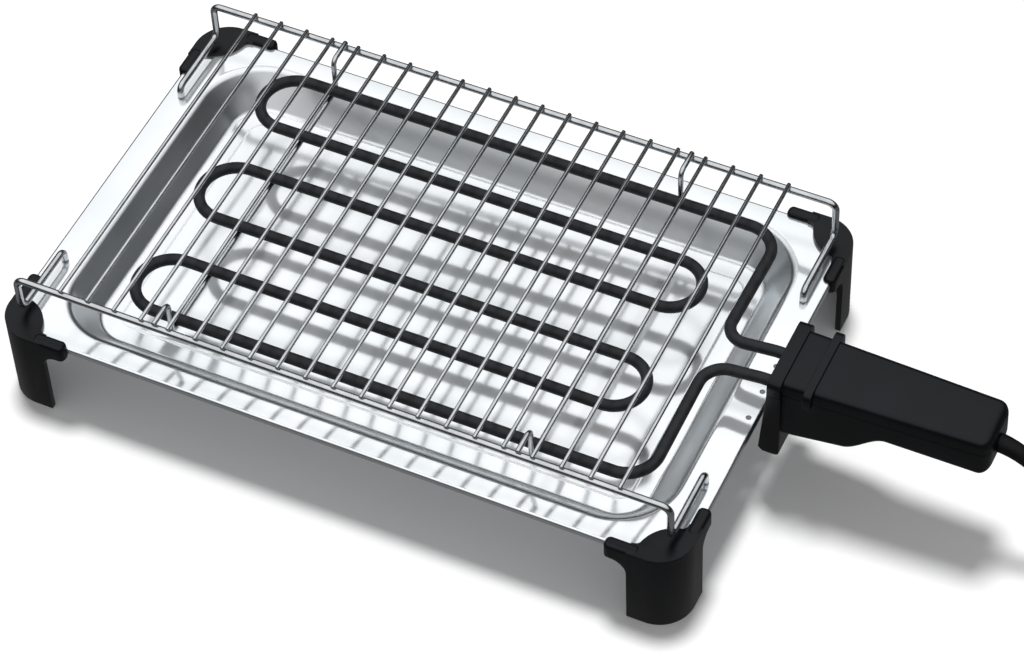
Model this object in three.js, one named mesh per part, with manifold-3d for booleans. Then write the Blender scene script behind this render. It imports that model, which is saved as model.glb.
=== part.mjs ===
// Electric table grill: a pressed steel drip tray on four corner feet, a lift-off wire rack that
// stands on the tray's flange, and a bent tubular heater that lies on the rack's two support bars
// and ends in a moulded handle with its supply cord. Millimetres, +Z up, X along the handle.
// The origin is on the table, under the middle of the grill from its left feet to its handle's end.
import * as THREE from 'three';
import { mergeVertices } from 'three/addons/utils/BufferGeometryUtils.js';
import Module from 'manifold-3d';

const wasm = await Module();
wasm.setup();

// Driving dimensions
const trayLength = 400;
const trayWidth = 245;
const trayTop = 53;
const rackRise = 31.5;
const heaterRise = 17;
const handleRise = 39;
const gripLength = 55;
const cordDiameter = 7;

// Clearances and cutters
const seatGap = 0.3;
const weldGap = 0.15;
const runningGap = 0.2;
const overrun = 3;
const mergeTolerance = 0.0001;

// Drip tray: flange, basin with sloped walls, turned-down rim, three small holes by the handle
const sheet = 0.8;
const trayCorner = 16;
const rimDrop = 3.6;
const rimBend = 1.5;
const flangeEnd = 17.2;
const flangeSide = 10.7;
const mouthCorner = 38;
const basinDepth = 20;
const basinLip = 6;
const basinFoot = 4;
const basinSlope = THREE.MathUtils.degToRad(52);
const channelWidth = 8.4;
const panelRise = 0.8;
const panelBend = 1.5;
const panelSlope = THREE.MathUtils.degToRad(35);
const flangeHole = 3.2;
const flangeHoleInset = 4.8;
const flangeHolePitch = 19;

// Corner feet
const footOverEnd = 2.6;
const footOverSide = 4.5;
const footCover = 4;
const footArmWidth = 7.6;
const footArmLength = 43.5;
const footArmRoot = 6;
const footArmTop = 2.8;
const footArmRound = 2.5;
const footArmEnd = 3;
const footPlateTop = 2.2;
const footWall = 3.2;
const footSkirt = 7;
const footCorner = 20;
const footLobe = 21.5;
const footLobeInset = 5;
const footLobeFillet = 3.5;
const footLegReach = 30.2;
const footFillet = 9;

// Wire rack
const longWire = 4;
const crossWire = 2.3;
const supportBar = 3;
const rackEndInset = 9;
const rackSideInset = 10.5;
const legFootInset = 45;
const legRunRise = 7.5;
const legBend = 5;
const tipBend = 4;
const crossCount = 21;
const crossEndInset = 27.8;
const crossProud = 1;
const barPitchesFromEnd = 3.5;
const barDropInset = 15;
const barBend = 4;

// Heating element
const tubeDiameter = 6.6;
const outerRunInset = 20.5;
const innerRunSpan = 39;
const innerTurnWidth = 34.3;
const leftTurnInset = 61.2;
const rightTurnInset = 24.7;
const crossRunInset = 32;
const outerCorner = 18;
const inletCorner = 13;
const inletBend = 12;
const inletLevel = 8;
const terminalSpan = 19.6;
const terminalRise = 7.5;
const tubeEndInside = 6;

// Handle housing
const collarStandOff = 6.5;
const collarThickness = 7.5;
const collarWidth = 48;
const collarProud = 1.5;
const collarCorner = 5;
const apronStandOff = 2.7;
const apronThickness = 8;
const apronDrop = 17;
const handleWidthFront = 41;
const handleWidthEnd = 33;
const handleFlare = 1.4;
const handleEdge = 4;
const leastEdge = 1;
const handleEndCorner = 6;
const upperShellDepth = 9;
const frontDepth = 41;
const guardDepth = 37;
const gripDepth = 22.5;
const endDepth = 25;
const guardAlong = 40.5;
const guardLength = 24;
const shellWall = 2.4;
const ribAlong = 20;
const ribThickness = 4.5;
const ribWidth = 49.6;

// Fittings inside the handle
const plateThickness = 1.2;
const plateWidth = 30;
const plateAbove = 5;
const plateBelow = 10;
const beadDiameter = 6;
const beadLength = 4;
const pinDiameter = 2.4;
const pinLength = 16;
const connectorDiameter = 5.6;
const connectorLength = 11;
const connectorOffset = 7;
const leadDiameter = 2.4;
const leadSpacing = 3.4;
const leadBend = 6;
const leadFan = 16;
const earthLeadY = 6;
const earthLeadDrop = 3;
const screwSetback = 1;
const postDiameter = 7.4;
const screwDiameter = 3;
const screwHead = 5.6;
const screwHeadHeight = 2;
const screwWell = 6.4;
const screwLength = 14;
const cordInside = 29;
const clampInside = 25;
const clampLength = 8;
const clampWidth = 26;
const clampHeight = 3.4;
const clampScrewSpan = 19;
const clampPost = 6;
const clampScrewLength = 12;

// Strain relief and cord
const cordExitDrop = 6;
const reliefFlange = 12;
const reliefFlangeLength = 3;
const reliefNeck = 9;
const reliefNeckHole = 9.6;
const reliefShoulder = 10.4;
const reliefTip = 8.4;
const reliefLength = 28;
const reliefStartPitch = THREE.MathUtils.degToRad(8);
const reliefEndPitch = THREE.MathUtils.degToRad(52);
const coilBeyond = 55;
const coilAside = 122;
const coilRadius = 54;
const coilPitch = 7.6;
const layGap = 0.1;
const turnsIn = 3;
const turnsOut = 2.5;
const coilSteps = 24;
const coilSides = 6;

// Points of the cord's route, chosen by hand, with X counted from the handle's end: first from the
// relief to the coil, then from the coil to the plug.
const cordRoute = [
  [44.5, 2, 33], [57, 6, 18.5], [72, 13.5, 8.2], [87, 25, 4.2], [99, 41, 3.8], [106, 60, 4.4],
  [109, 80, 7.3], [109, 97, 10.5],
];
const tailRoute = [[102, 153, 3.6], [95, 169, 3.6], [82, 181, 3.8], [66, 186.5, 6.6]];

// Plug
const plugDiameter = 37;
const plugWaist = 33;
const plugNeck = 11;
const plugNeckLength = 24;
const plugBodyLength = 33;
const plugWaistOffset = 11;
const plugBeyond = 39;
const plugAside = 187;
const plugFaceRim = 1.6;
const plugRecess = 2;
const plugPin = 4.8;
const plugPinLength = 19;
const plugPinSpan = 19;
const plugPinSocket = 4;
const earthStripWidth = 5;
const earthStripThickness = 1.2;
const earthStripLength = 14;

// Heights and places that follow from the sizes above
const mouthLength = trayLength - flangeEnd * 2;
const mouthWidth = trayWidth - flangeSide * 2;
const footOutX = trayLength / 2 + footOverEnd;
const footOutY = trayWidth / 2 + footOverSide;
const rackLength = trayLength - rackEndInset * 2;
const rackWidth = trayWidth - rackSideInset * 2;
const longWireZ = trayTop + rackRise;
const crossPitch = (rackLength - crossEndInset * 2) / (crossCount - 1);
const crossWireZ = longWireZ + longWire / 2 + crossWire / 2 + weldGap;
const heaterZ = trayTop + heaterRise;
const barTopZ = longWireZ + longWire / 2 + supportBar / 2 + weldGap;
const barLowZ = heaterZ - tubeDiameter / 2 - supportBar / 2 - seatGap;
const crossRunX = trayLength / 2 - crossRunInset;
const collarFace = trayLength / 2 + collarStandOff;
const apronFace = trayLength / 2 + apronStandOff;
const apronBack = collarFace + apronThickness;
const apronBottom = trayTop - apronDrop;
const handleTop = trayTop + handleRise;
const collarTop = handleTop + collarProud;
const seamHeight = handleTop - upperShellDepth;
const guardX = collarFace + guardAlong;
const gripX = guardX + guardLength;
const handleEnd = gripX + gripLength;
const cavityStart = collarFace + collarThickness + shellWall;
const screwPlaces = [guardX - screwSetback, gripX - screwSetback];
const clampX = handleEnd - clampInside;
const cordEndX = handleEnd - cordInside;
const leadTurnX = cordEndX - leadFan;
const terminalZ = heaterZ + terminalRise;
const tubeEndX = cavityStart + tubeEndInside;
const cordExitZ = seamHeight - cordExitDrop;
const coilCentre = new THREE.Vector2(handleEnd + coilBeyond, coilAside);
const midX = (handleEnd - footOutX) / 2;

const steel = { color: 0xd9dbdd, metalness: 1, roughness: 0.12 };
const chrome = { color: 0xc9cccf, metalness: 1, roughness: 0.15 };
const heaterSkin = { color: 0x2c2e30, metalness: 0.5, roughness: 0.6 };
const blackPlastic = { color: 0x17181b, metalness: 0, roughness: 0.4 };
const rubber = { color: 0x121214, metalness: 0, roughness: 0.6 };
const ceramic = { color: 0xe6e0d2, metalness: 0, roughness: 0.5 };
const brass = { color: 0xb9a26a, metalness: 1, roughness: 0.3 };

const grill = new THREE.Group();
grill.name = 'table_grill';

// Adds a named mesh of its own material, moved so that the origin is under the middle of the grill.
function addPart(name, geometry, finish) {
  const mesh = new THREE.Mesh(geometry, new THREE.MeshStandardMaterial(finish));
  mesh.name = name;
  mesh.position.x = -midX;
  grill.add(mesh);
  return mesh;
}

// Turns a closed geometry into a solid that can be joined and cut.
function solidOf(geometry) {
  const bare = geometry.clone();
  for (const key of Object.keys(bare.attributes)) {
    if (key !== 'position') bare.deleteAttribute(key);
  }
  const merged = mergeVertices(bare, mergeTolerance);
  return new wasm.Manifold(new wasm.Mesh({
    numProp: 3,
    vertProperties: new Float32Array(merged.getAttribute('position').array),
    triVerts: new Uint32Array(merged.index.array),
  }));
}

function geometryOf(solid) {
  const mesh = solid.getMesh();
  const geometry = new THREE.BufferGeometry();
  const positions = new Float32Array(mesh.vertProperties);
  geometry.setAttribute('position', new THREE.BufferAttribute(positions, 3));
  geometry.setIndex(new THREE.BufferAttribute(new Uint32Array(mesh.triVerts), 1));
  return geometry;
}

// A box between two corners.
function block(x0, x1, y0, y1, z0, z1) {
  const geometry = new THREE.BoxGeometry(x1 - x0, y1 - y0, z1 - z0);
  return geometry.translate((x0 + x1) / 2, (y0 + y1) / 2, (z0 + z1) / 2);
}

// A closed cylinder between two points.
function rod(from, to, diameter, sides) {
  const axis = new THREE.Vector3().subVectors(to, from);
  const geometry = new THREE.CylinderGeometry(diameter / 2, diameter / 2, axis.length(), sides);
  const upward = new THREE.Vector3(0, 1, 0);
  const turn = new THREE.Quaternion().setFromUnitVectors(upward, axis.clone().normalize());
  geometry.applyQuaternion(turn);
  const middle = new THREE.Vector3().addVectors(from, to).multiplyScalar(0.5);
  return geometry.translate(middle.x, middle.y, middle.z);
}

// A flat outline drawn in X and Y, raised from z0 to z1.
function prism(shape, z0, z1, curveSegments) {
  const geometry = new THREE.ExtrudeGeometry(shape, { depth: z1 - z0, bevelEnabled: false, curveSegments });
  return geometry.translate(0, 0, z0);
}

// Rings of equal point counts joined into one closed skin, with a fan at each end. The rings run
// anticlockwise as seen from outside the first end.
function ringSolid(rings, firstTip, lastTip) {
  const count = rings[0].length;
  const positions = [...firstTip];
  for (const ring of rings) {
    for (const point of ring) positions.push(...point);
  }
  positions.push(...lastTip);
  const indices = [];
  const at = (ring, i) => 1 + ring * count + (i % count);
  const last = 1 + rings.length * count;
  for (let i = 0; i < count; i += 1) {
    indices.push(0, at(0, i), at(0, i + 1));
    for (let ring = 0; ring + 1 < rings.length; ring += 1) {
      indices.push(at(ring, i), at(ring + 1, i), at(ring + 1, i + 1));
      indices.push(at(ring, i), at(ring + 1, i + 1), at(ring, i + 1));
    }
    indices.push(last, at(rings.length - 1, i + 1), at(rings.length - 1, i));
  }
  const geometry = new THREE.BufferGeometry();
  geometry.setAttribute('position', new THREE.Float32BufferAttribute(positions, 3));
  geometry.setIndex(indices);
  return geometry;
}

// A rounded rectangle as [x, y] points, anticlockwise, with the same number of points at each corner.
function roundedRing(halfX, halfY, radius, steps) {
  const points = [];
  const corners = [[1, 1], [-1, 1], [-1, -1], [1, -1]];
  corners.forEach(([sx, sy], quarter) => {
    for (let i = 0; i <= steps; i += 1) {
      const angle = (quarter + i / steps) * Math.PI / 2;
      points.push([
        sx * (halfX - radius) + radius * Math.cos(angle),
        sy * (halfY - radius) + radius * Math.sin(angle),
      ]);
    }
  });
  return points;
}

// A path whose stations are given one by one, so that each bend is cut where its arc needs it.
class StationPath extends THREE.Curve {
  constructor(stations) {
    super();
    this.stations = stations;
  }

  station(share) {
    return this.stations[Math.round(share * (this.stations.length - 1))];
  }

  getPointAt(share, target = new THREE.Vector3()) {
    return target.copy(this.station(share).point);
  }

  getTangentAt(share, target = new THREE.Vector3()) {
    return target.copy(this.station(share).tangent);
  }
}

// Straight runs from corner to corner, each inner corner rounded by its bend radius.
function bentStations(corners, bends, stepAngle) {
  const stations = [];
  const add = (point, tangent) => {
    const previous = stations[stations.length - 1];
    if (!previous || previous.point.distanceTo(point) > mergeTolerance) {
      stations.push({ point: point.clone(), tangent: tangent.clone() });
    }
  };
  const heading = (i) => new THREE.Vector3().subVectors(corners[i + 1], corners[i]).normalize();
  add(corners[0], heading(0));
  for (let i = 1; i + 1 < corners.length; i += 1) {
    const into = heading(i - 1);
    const out = heading(i);
    const angle = into.angleTo(out);
    const radius = bends[i - 1];
    const side = out.clone().addScaledVector(into, -Math.cos(angle)).normalize();
    const start = corners[i].clone().addScaledVector(into, -radius * Math.tan(angle / 2));
    const centre = start.clone().addScaledVector(side, radius);
    const steps = Math.max(1, Math.ceil(angle / stepAngle - mergeTolerance));
    for (let k = 0; k <= steps; k += 1) {
      const turn = angle * k / steps;
      const point = centre.clone()
        .addScaledVector(side, -radius * Math.cos(turn))
        .addScaledVector(into, radius * Math.sin(turn));
      const tangent = into.clone().multiplyScalar(Math.cos(turn)).addScaledVector(side, Math.sin(turn));
      add(point, tangent);
    }
  }
  add(corners[corners.length - 1], heading(corners.length - 2));
  return stations;
}

// A round bar along a station path.
function barAlong(stations, diameter, sides) {
  const section = new THREE.Shape();
  section.setFromPoints(Array.from({ length: sides }, (_, i) => {
    const angle = (i + 0.5) / sides * 2 * Math.PI;
    return new THREE.Vector2(Math.cos(angle) * diameter / 2, Math.sin(angle) * diameter / 2);
  }));
  return new THREE.ExtrudeGeometry(section, {
    steps: stations.length - 1,
    bevelEnabled: false,
    extrudePath: new StationPath(stations),
  });
}

// A revolved shape about X, from [x, radius] points that start and end on the axis.
function turned(profile, segments) {
  const geometry = new THREE.LatheGeometry(profile.map(([x, r]) => new THREE.Vector2(r, x)), segments);
  return geometry.rotateZ(-Math.PI / 2);
}

// The pressed tray. Its section runs from the middle of the basin out to the rim's lower edge as
// points with the upper side's normal, and the lower skin is the same section one sheet further in.
function traySection() {
  const points = [];
  const slope = basinSlope;
  const bendDrop = (basinFoot + basinLip) * (1 - Math.cos(slope));
  const wall = (basinDepth - bendDrop) / Math.sin(slope);
  const run = (basinFoot + basinLip) * Math.sin(slope) + wall * Math.cos(slope);
  const floorZ = trayTop - basinDepth;
  const bendSteps = 3;
  const panelZ = floorZ + panelRise;
  const panelDrop = 2 * panelBend * (1 - Math.cos(panelSlope));
  const panelFace = (panelRise - panelDrop) / Math.sin(panelSlope);
  const panelRun = 2 * panelBend * Math.sin(panelSlope) + panelFace * Math.cos(panelSlope);
  const panelSteps = 2;
  for (let i = 0; i <= panelSteps; i += 1) {
    const a = panelSlope * i / panelSteps;
    points.push({
      base: 'mouth', out: panelBend * Math.sin(a) - panelRun - channelWidth - run,
      z: panelZ - panelBend * (1 - Math.cos(a)), normal: [Math.sin(a), Math.cos(a)],
    });
  }
  for (let i = panelSteps; i >= 0; i -= 1) {
    const a = panelSlope * i / panelSteps;
    points.push({
      base: 'mouth', out: -panelBend * Math.sin(a) - channelWidth - run,
      z: floorZ + panelBend * (1 - Math.cos(a)), normal: [Math.sin(a), Math.cos(a)],
    });
  }
  for (let i = 0; i <= bendSteps; i += 1) {
    const a = slope * i / bendSteps;
    points.push({
      base: 'mouth', out: basinFoot * Math.sin(a) - run, z: floorZ + basinFoot * (1 - Math.cos(a)),
      normal: [-Math.sin(a), Math.cos(a)],
    });
  }
  for (let i = bendSteps; i >= 0; i -= 1) {
    const a = slope * i / bendSteps;
    points.push({
      base: 'mouth', out: -basinLip * Math.sin(a), z: trayTop - basinLip * (1 - Math.cos(a)),
      normal: [-Math.sin(a), Math.cos(a)],
    });
  }
  for (let i = 0; i <= bendSteps; i += 1) {
    const a = Math.PI / 2 * i / bendSteps;
    points.push({
      base: 'rim', out: rimBend * (Math.sin(a) - 1), z: trayTop - rimBend * (1 - Math.cos(a)),
      normal: [Math.sin(a), Math.cos(a)],
    });
  }
  points.push({ base: 'rim', out: 0, z: trayTop - rimDrop, normal: [1, 0] });
  return points;
}

function trayRing(station, depth) {
  const out = station.out - station.normal[0] * depth;
  const z = station.z - station.normal[1] * depth;
  const mouth = station.base === 'mouth';
  const halfX = (mouth ? mouthLength : trayLength) / 2 + out;
  const halfY = (mouth ? mouthWidth : trayWidth) / 2 + out;
  const radius = (mouth ? mouthCorner : trayCorner) + out;
  return roundedRing(halfX, halfY, radius, 6).map(([x, y]) => [x, y, z]);
}

function buildTray() {
  const section = traySection();
  const upper = section.map((station) => trayRing(station, 0));
  const lower = section.map((station) => trayRing(station, sheet)).reverse();
  const panelZ = trayTop - basinDepth + panelRise;
  let tray = solidOf(ringSolid([...upper, ...lower], [0, 0, panelZ], [0, 0, panelZ - sheet]));
  const holeX = trayLength / 2 - flangeHoleInset;
  for (const step of [-1, 0, 1]) {
    const top = new THREE.Vector3(holeX, step * flangeHolePitch, trayTop + overrun);
    const bottom = new THREE.Vector3(holeX, step * flangeHolePitch, trayTop - overrun);
    tray = tray.subtract(solidOf(rod(bottom, top, flangeHole, 12)));
  }
  addPart('drip_tray', geometryOf(tray), steel);
}

// Outline of a foot's plate in plan for the corner with x and y positive: a round lobe over the
// corner of the flange that meets the two arms in small fillets, and a rounded outer corner.
function footOutline() {
  const lobeX = footOutX - footLobeInset;
  const lobeY = footOutY - footLobeInset;
  const reach = footLobe + footLobeFillet;
  const aside = footArmWidth + footLobeFillet - footLobeInset;
  const along = Math.sqrt(reach * reach - aside * aside);
  const meet = Math.atan2(aside, along);
  const endX = lobeX - along;
  const endY = lobeY - along;
  const shape = new THREE.Shape();
  shape.moveTo(footOutX - footArmWidth, endY);
  shape.lineTo(footOutX, endY);
  shape.absarc(footOutX - footCorner, footOutY - footCorner, footCorner, 0, Math.PI / 2, false);
  shape.lineTo(endX, footOutY);
  shape.absarc(endX, lobeY - aside, footLobeFillet, Math.PI / 2, meet, true);
  shape.absarc(lobeX, lobeY, footLobe, Math.PI + meet, 3 * Math.PI / 2 - meet, false);
  shape.absarc(lobeX - aside, endY, footLobeFillet, Math.PI / 2 - meet, 0, true);
  shape.closePath();
  return shape;
}

// The band along the outer edge only: the leg wall and the skirt are cut from it.
function footBand(thickness) {
  const endX = footOutX - footLegReach;
  const endY = footOutY - footLegReach;
  const inner = footCorner - thickness;
  const shape = new THREE.Shape();
  shape.moveTo(footOutX - thickness, endY);
  shape.lineTo(footOutX, endY);
  shape.absarc(footOutX - footCorner, footOutY - footCorner, footCorner, 0, Math.PI / 2, false);
  shape.lineTo(endX, footOutY);
  shape.lineTo(endX, footOutY - thickness);
  shape.absarc(footOutX - footCorner, footOutY - footCorner, inner, Math.PI / 2, 0, true);
  shape.closePath();
  return shape;
}

// An arm that clips over the flange: a bar with rounded ends, rounded along its upper edges.
function footArm(x0, x1, y0, y1) {
  const skirtZ = trayTop - footSkirt;
  const cornerSteps = 3;
  const ring = roundedRing((x1 - x0) / 2, (y1 - y0) / 2, footArmEnd, cornerSteps);
  const shape = new THREE.Shape(ring.map(([x, y]) => (
    new THREE.Vector2(x + (x0 + x1) / 2, y + (y0 + y1) / 2)
  )));
  const geometry = new THREE.ExtrudeGeometry(shape, {
    depth: footSkirt + footArmTop - footArmRound,
    bevelEnabled: true,
    bevelThickness: footArmRound,
    bevelSize: footArmRound,
    bevelOffset: -footArmRound,
    bevelSegments: 3,
  });
  return solidOf(geometry.translate(0, 0, skirtZ)).trimByPlane([0, 0, 1], skirtZ);
}

// The round fillet in the angle between an arm's lower edge and the leg's upright edge, as a shape
// in the arm's side view: x away from the leg, y up, with the angle at the origin. It reaches a
// little into the arm and the leg.
function filletShape() {
  const bite = footWall / 4;
  const shape = new THREE.Shape();
  shape.moveTo(-bite, bite);
  shape.lineTo(-bite, -footFillet);
  shape.lineTo(0, -footFillet);
  shape.absarc(footFillet, -footFillet, footFillet, Math.PI, Math.PI / 2, true);
  shape.lineTo(footFillet, bite);
  shape.closePath();
  return shape;
}

function footSolid() {
  const arcs = 6;
  const skirtZ = trayTop - footSkirt;
  const plateZ = trayTop + footPlateTop;
  const rootX = footOutX - footLegReach + footArmRoot;
  const rootY = footOutY - footLegReach + footArmRoot;
  const plate = solidOf(prism(footOutline(), trayTop + seatGap, plateZ, arcs));
  const corner = solidOf(prism(footBand(footArmWidth), skirtZ, plateZ, arcs));
  const leg = solidOf(prism(footBand(footWall), 0, trayTop, arcs));
  const frontArm = footArm(footOutX - footArmLength, rootX, footOutY - footArmWidth, footOutY);
  const sideArm = footArm(footOutX - footArmWidth, footOutX, footOutY - footArmLength, rootY);
  let foot = plate.add(corner).add(leg).add(frontArm).add(sideArm);
  const fillet = new THREE.ExtrudeGeometry(filletShape(), {
    depth: footWall, bevelEnabled: false, curveSegments: arcs,
  });
  const frontFillet = fillet.clone().scale(-1, 1, 1).rotateX(Math.PI / 2);
  frontFillet.translate(footOutX - footLegReach, footOutY, skirtZ);
  const sideFillet = fillet.clone().rotateX(Math.PI / 2).rotateZ(-Math.PI / 2);
  sideFillet.translate(footOutX, footOutY - footLegReach, skirtZ);
  foot = foot.add(flipped(frontFillet)).add(solidOf(sideFillet));
  const rimRing = roundedRing(
    trayLength / 2 + seatGap, trayWidth / 2 + seatGap, trayCorner + seatGap, arcs,
  );
  const slot = new THREE.Shape(rimRing.map(([x, y]) => new THREE.Vector2(x, y)));
  const ledgeTop = trayTop - rimDrop - seatGap;
  foot = foot.subtract(solidOf(prism(slot, ledgeTop, trayTop + seatGap, arcs)));
  return foot.subtract(solidOf(block(
    0, trayLength / 2 - footCover, 0, trayWidth / 2 - footCover, -overrun, ledgeTop,
  )));
}

// A mirrored geometry has its faces turned back out.
function flipped(geometry) {
  const plain = geometry.index ? geometry.toNonIndexed() : geometry.clone();
  const position = plain.getAttribute('position');
  for (let i = 0; i < position.count; i += 3) {
    const b = new THREE.Vector3().fromBufferAttribute(position, i + 1);
    const c = new THREE.Vector3().fromBufferAttribute(position, i + 2);
    position.setXYZ(i + 1, c.x, c.y, c.z);
    position.setXYZ(i + 2, b.x, b.y, b.z);
  }
  return solidOf(plain);
}

function buildFeet() {
  const geometry = geometryOf(footSolid());
  const corners = [
    ['foot_front_left', -1, -1], ['foot_front_right', 1, -1],
    ['foot_rear_left', -1, 1], ['foot_rear_right', 1, 1],
  ];
  for (const [name, sx, sy] of corners) {
    const copy = geometry.clone().scale(sx, sy, 1);
    addPart(name, sx * sy < 0 ? geometryOf(flipped(copy)) : copy, blackPlastic);
  }
}

// One long wire of the rack: a leg at each end that drops to the flange, runs in under the rack and
// turns its tip down onto the flange.
function buildLongWire(name, side) {
  const halfX = rackLength / 2;
  const outY = side * rackWidth / 2;
  const inY = side * (rackWidth / 2 - legFootInset);
  const lowZ = trayTop + legRunRise;
  const tipZ = trayTop + seatGap;
  const corners = [
    new THREE.Vector3(-halfX, inY, tipZ),
    new THREE.Vector3(-halfX, inY, lowZ),
    new THREE.Vector3(-halfX, outY, lowZ),
    new THREE.Vector3(-halfX, outY, longWireZ),
    new THREE.Vector3(halfX, outY, longWireZ),
    new THREE.Vector3(halfX, outY, lowZ),
    new THREE.Vector3(halfX, inY, lowZ),
    new THREE.Vector3(halfX, inY, tipZ),
  ];
  const bends = [tipBend, legBend, legBend, legBend, legBend, tipBend];
  addPart(name, barAlong(bentStations(corners, bends, Math.PI / 8), longWire, 10), chrome);
}

function buildCrossWires() {
  const reach = rackWidth / 2 + crossProud;
  for (let i = 0; i < crossCount; i += 1) {
    const x = (i - (crossCount - 1) / 2) * crossPitch;
    const from = new THREE.Vector3(x, -reach, crossWireZ);
    const to = new THREE.Vector3(x, reach, crossWireZ);
    addPart(`cross_wire_${String(i + 1).padStart(2, '0')}`, rod(from, to, crossWire, 8), chrome);
  }
}

// A support bar: welded on the long wires, then down and across under the heater.
function buildSupportBar(name, side) {
  const x = side * ((crossCount - 1) / 2 - barPitchesFromEnd) * crossPitch;
  const reach = rackWidth / 2 + crossProud;
  const dropY = rackWidth / 2 - barDropInset;
  const corners = [
    new THREE.Vector3(x, -reach, barTopZ),
    new THREE.Vector3(x, -dropY, barTopZ),
    new THREE.Vector3(x, -dropY, barLowZ),
    new THREE.Vector3(x, dropY, barLowZ),
    new THREE.Vector3(x, dropY, barTopZ),
    new THREE.Vector3(x, reach, barTopZ),
  ];
  const bends = [barBend, barBend, barBend, barBend];
  addPart(name, barAlong(bentStations(corners, bends, Math.PI / 6), supportBar, 8), chrome);
}

// The bent tubular heater, from the front terminal to the rear one.
function buildHeater() {
  const outer = rackWidth / 2 - outerRunInset;
  const inner = innerRunSpan / 2;
  const middle = inner + innerTurnWidth;
  const left = leftTurnInset - trayLength / 2;
  const right = crossRunX - rightTurnInset;
  const end = terminalSpan / 2;
  const inletZ = (heaterZ + terminalZ) / 2;
  const half = [
    [tubeEndX, end, terminalZ], [collarFace - inletLevel, end, terminalZ],
    [crossRunX, end, inletZ], [crossRunX, outer, heaterZ],
    [left, outer, heaterZ], [left, middle, heaterZ],
    [right, middle, heaterZ], [right, inner, heaterZ],
    [left, inner, heaterZ],
  ];
  const front = half.map(([x, y, z]) => new THREE.Vector3(x, -y, z));
  const rear = half.map(([x, y, z]) => new THREE.Vector3(x, y, z)).reverse();
  const outerTurn = (outer - middle) / 2;
  const innerTurn = innerTurnWidth / 2;
  const halfBends = [
    inletBend, inletCorner, outerCorner, outerTurn, outerTurn, innerTurn, innerTurn, inner,
  ];
  const bends = [...halfBends, ...halfBends.slice().reverse()];
  const stations = bentStations([...front, ...rear], bends, Math.PI / 9);
  addPart('heating_element', barAlong(stations, tubeDiameter, 10), heaterSkin);
}

// Height of the handle's underside: deep behind the collar, a finger guard, then the slim grip.
function undersideAt(x) {
  const smooth = THREE.MathUtils.smoothstep(x, guardX, gripX);
  const frontShare = THREE.MathUtils.clamp((x - apronBack) / (guardX - apronBack), 0, 1);
  const gripShare = THREE.MathUtils.clamp((x - gripX) / (handleEnd - gripX), 0, 1);
  const front = THREE.MathUtils.lerp(frontDepth, guardDepth, frontShare);
  const grip = THREE.MathUtils.lerp(gripDepth, endDepth, gripShare);
  return handleTop - THREE.MathUtils.lerp(front, grip, smooth);
}

function handleHalfWidthAt(x) {
  const share = THREE.MathUtils.clamp((x - apronBack) / (handleEnd - apronBack), 0, 1);
  return THREE.MathUtils.lerp(handleWidthFront, handleWidthEnd, share) / 2;
}

// One cross-section of the handle as [x, y, z] points, anticlockwise as seen from the handle's end.
function handleRing(x, inset, endTurn) {
  const pullIn = (handleEndCorner - inset) * (1 - Math.cos(endTurn));
  const radius = Math.max(handleEdge - inset, leastEdge);
  const pullDown = radius * (1 - Math.cos(endTurn));
  const halfTop = handleHalfWidthAt(x) - inset - pullIn;
  const top = handleTop - inset - pullDown;
  const bottom = undersideAt(x) + inset + pullDown;
  const middle = (top + bottom) / 2;
  return roundedRing(halfTop, (top - bottom) / 2, radius, 3).map(([y, z]) => {
    const flareShare = (top - middle - z) / (top - bottom);
    return [x, y + Math.sign(y) * handleFlare * flareShare, middle + z];
  });
}

// The handle's body as a loft from its rounded end to behind the collar.
function handleLoft(startX, endX, inset) {
  const rings = [];
  const corner = handleEndCorner - inset;
  const turns = 3;
  for (let i = turns; i > 0; i -= 1) {
    const turn = Math.PI / 2 * i / turns;
    rings.push(handleRing(endX - corner + corner * Math.sin(turn), inset, turn));
  }
  const gripSteps = 2;
  const guardSteps = 6;
  const lastStraight = endX - corner;
  for (let i = 0; i < gripSteps; i += 1) {
    rings.push(handleRing(THREE.MathUtils.lerp(lastStraight, gripX, i / gripSteps), inset, 0));
  }
  for (let i = 0; i <= guardSteps; i += 1) {
    rings.push(handleRing(THREE.MathUtils.lerp(gripX, guardX, i / guardSteps), inset, 0));
  }
  rings.push(handleRing(startX, inset, 0));
  const endMiddle = (handleTop + undersideAt(endX)) / 2;
  const startMiddle = (handleTop + undersideAt(startX)) / 2;
  return solidOf(ringSolid(rings, [endX, 0, endMiddle], [startX, 0, startMiddle]));
}

// A plate across the handle with rounded upper corners, from one x to another.
function crossPlate(x0, x1, width, z0, z1, corner) {
  const half = width / 2;
  const shape = new THREE.Shape();
  shape.moveTo(-half, z0);
  shape.lineTo(half, z0);
  shape.lineTo(half, z1 - corner);
  shape.absarc(half - corner, z1 - corner, corner, 0, Math.PI / 2, false);
  shape.lineTo(corner - half, z1);
  shape.absarc(corner - half, z1 - corner, corner, Math.PI / 2, Math.PI, false);
  shape.closePath();
  const geometry = prism(shape, 0, x1 - x0, 4);
  geometry.rotateX(Math.PI / 2).rotateZ(Math.PI / 2);
  return solidOf(geometry.translate(x0, 0, 0));
}

// The apron under the collar: its face leans in towards the tray's rim, its lower edges are rounded.
function apronSolid() {
  const shape = new THREE.Shape();
  const corner = collarCorner / 2;
  shape.moveTo(apronFace + corner, apronBottom);
  shape.lineTo(apronBack - corner, apronBottom);
  shape.absarc(apronBack - corner, apronBottom + corner, corner, -Math.PI / 2, 0, false);
  shape.lineTo(apronBack, seamHeight);
  shape.lineTo(collarFace, seamHeight);
  shape.lineTo(apronFace, apronBottom + corner);
  shape.closePath();
  const geometry = prism(shape, 0, collarWidth, 3);
  geometry.rotateX(Math.PI / 2);
  return solidOf(geometry.translate(0, collarWidth / 2, 0));
}

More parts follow.
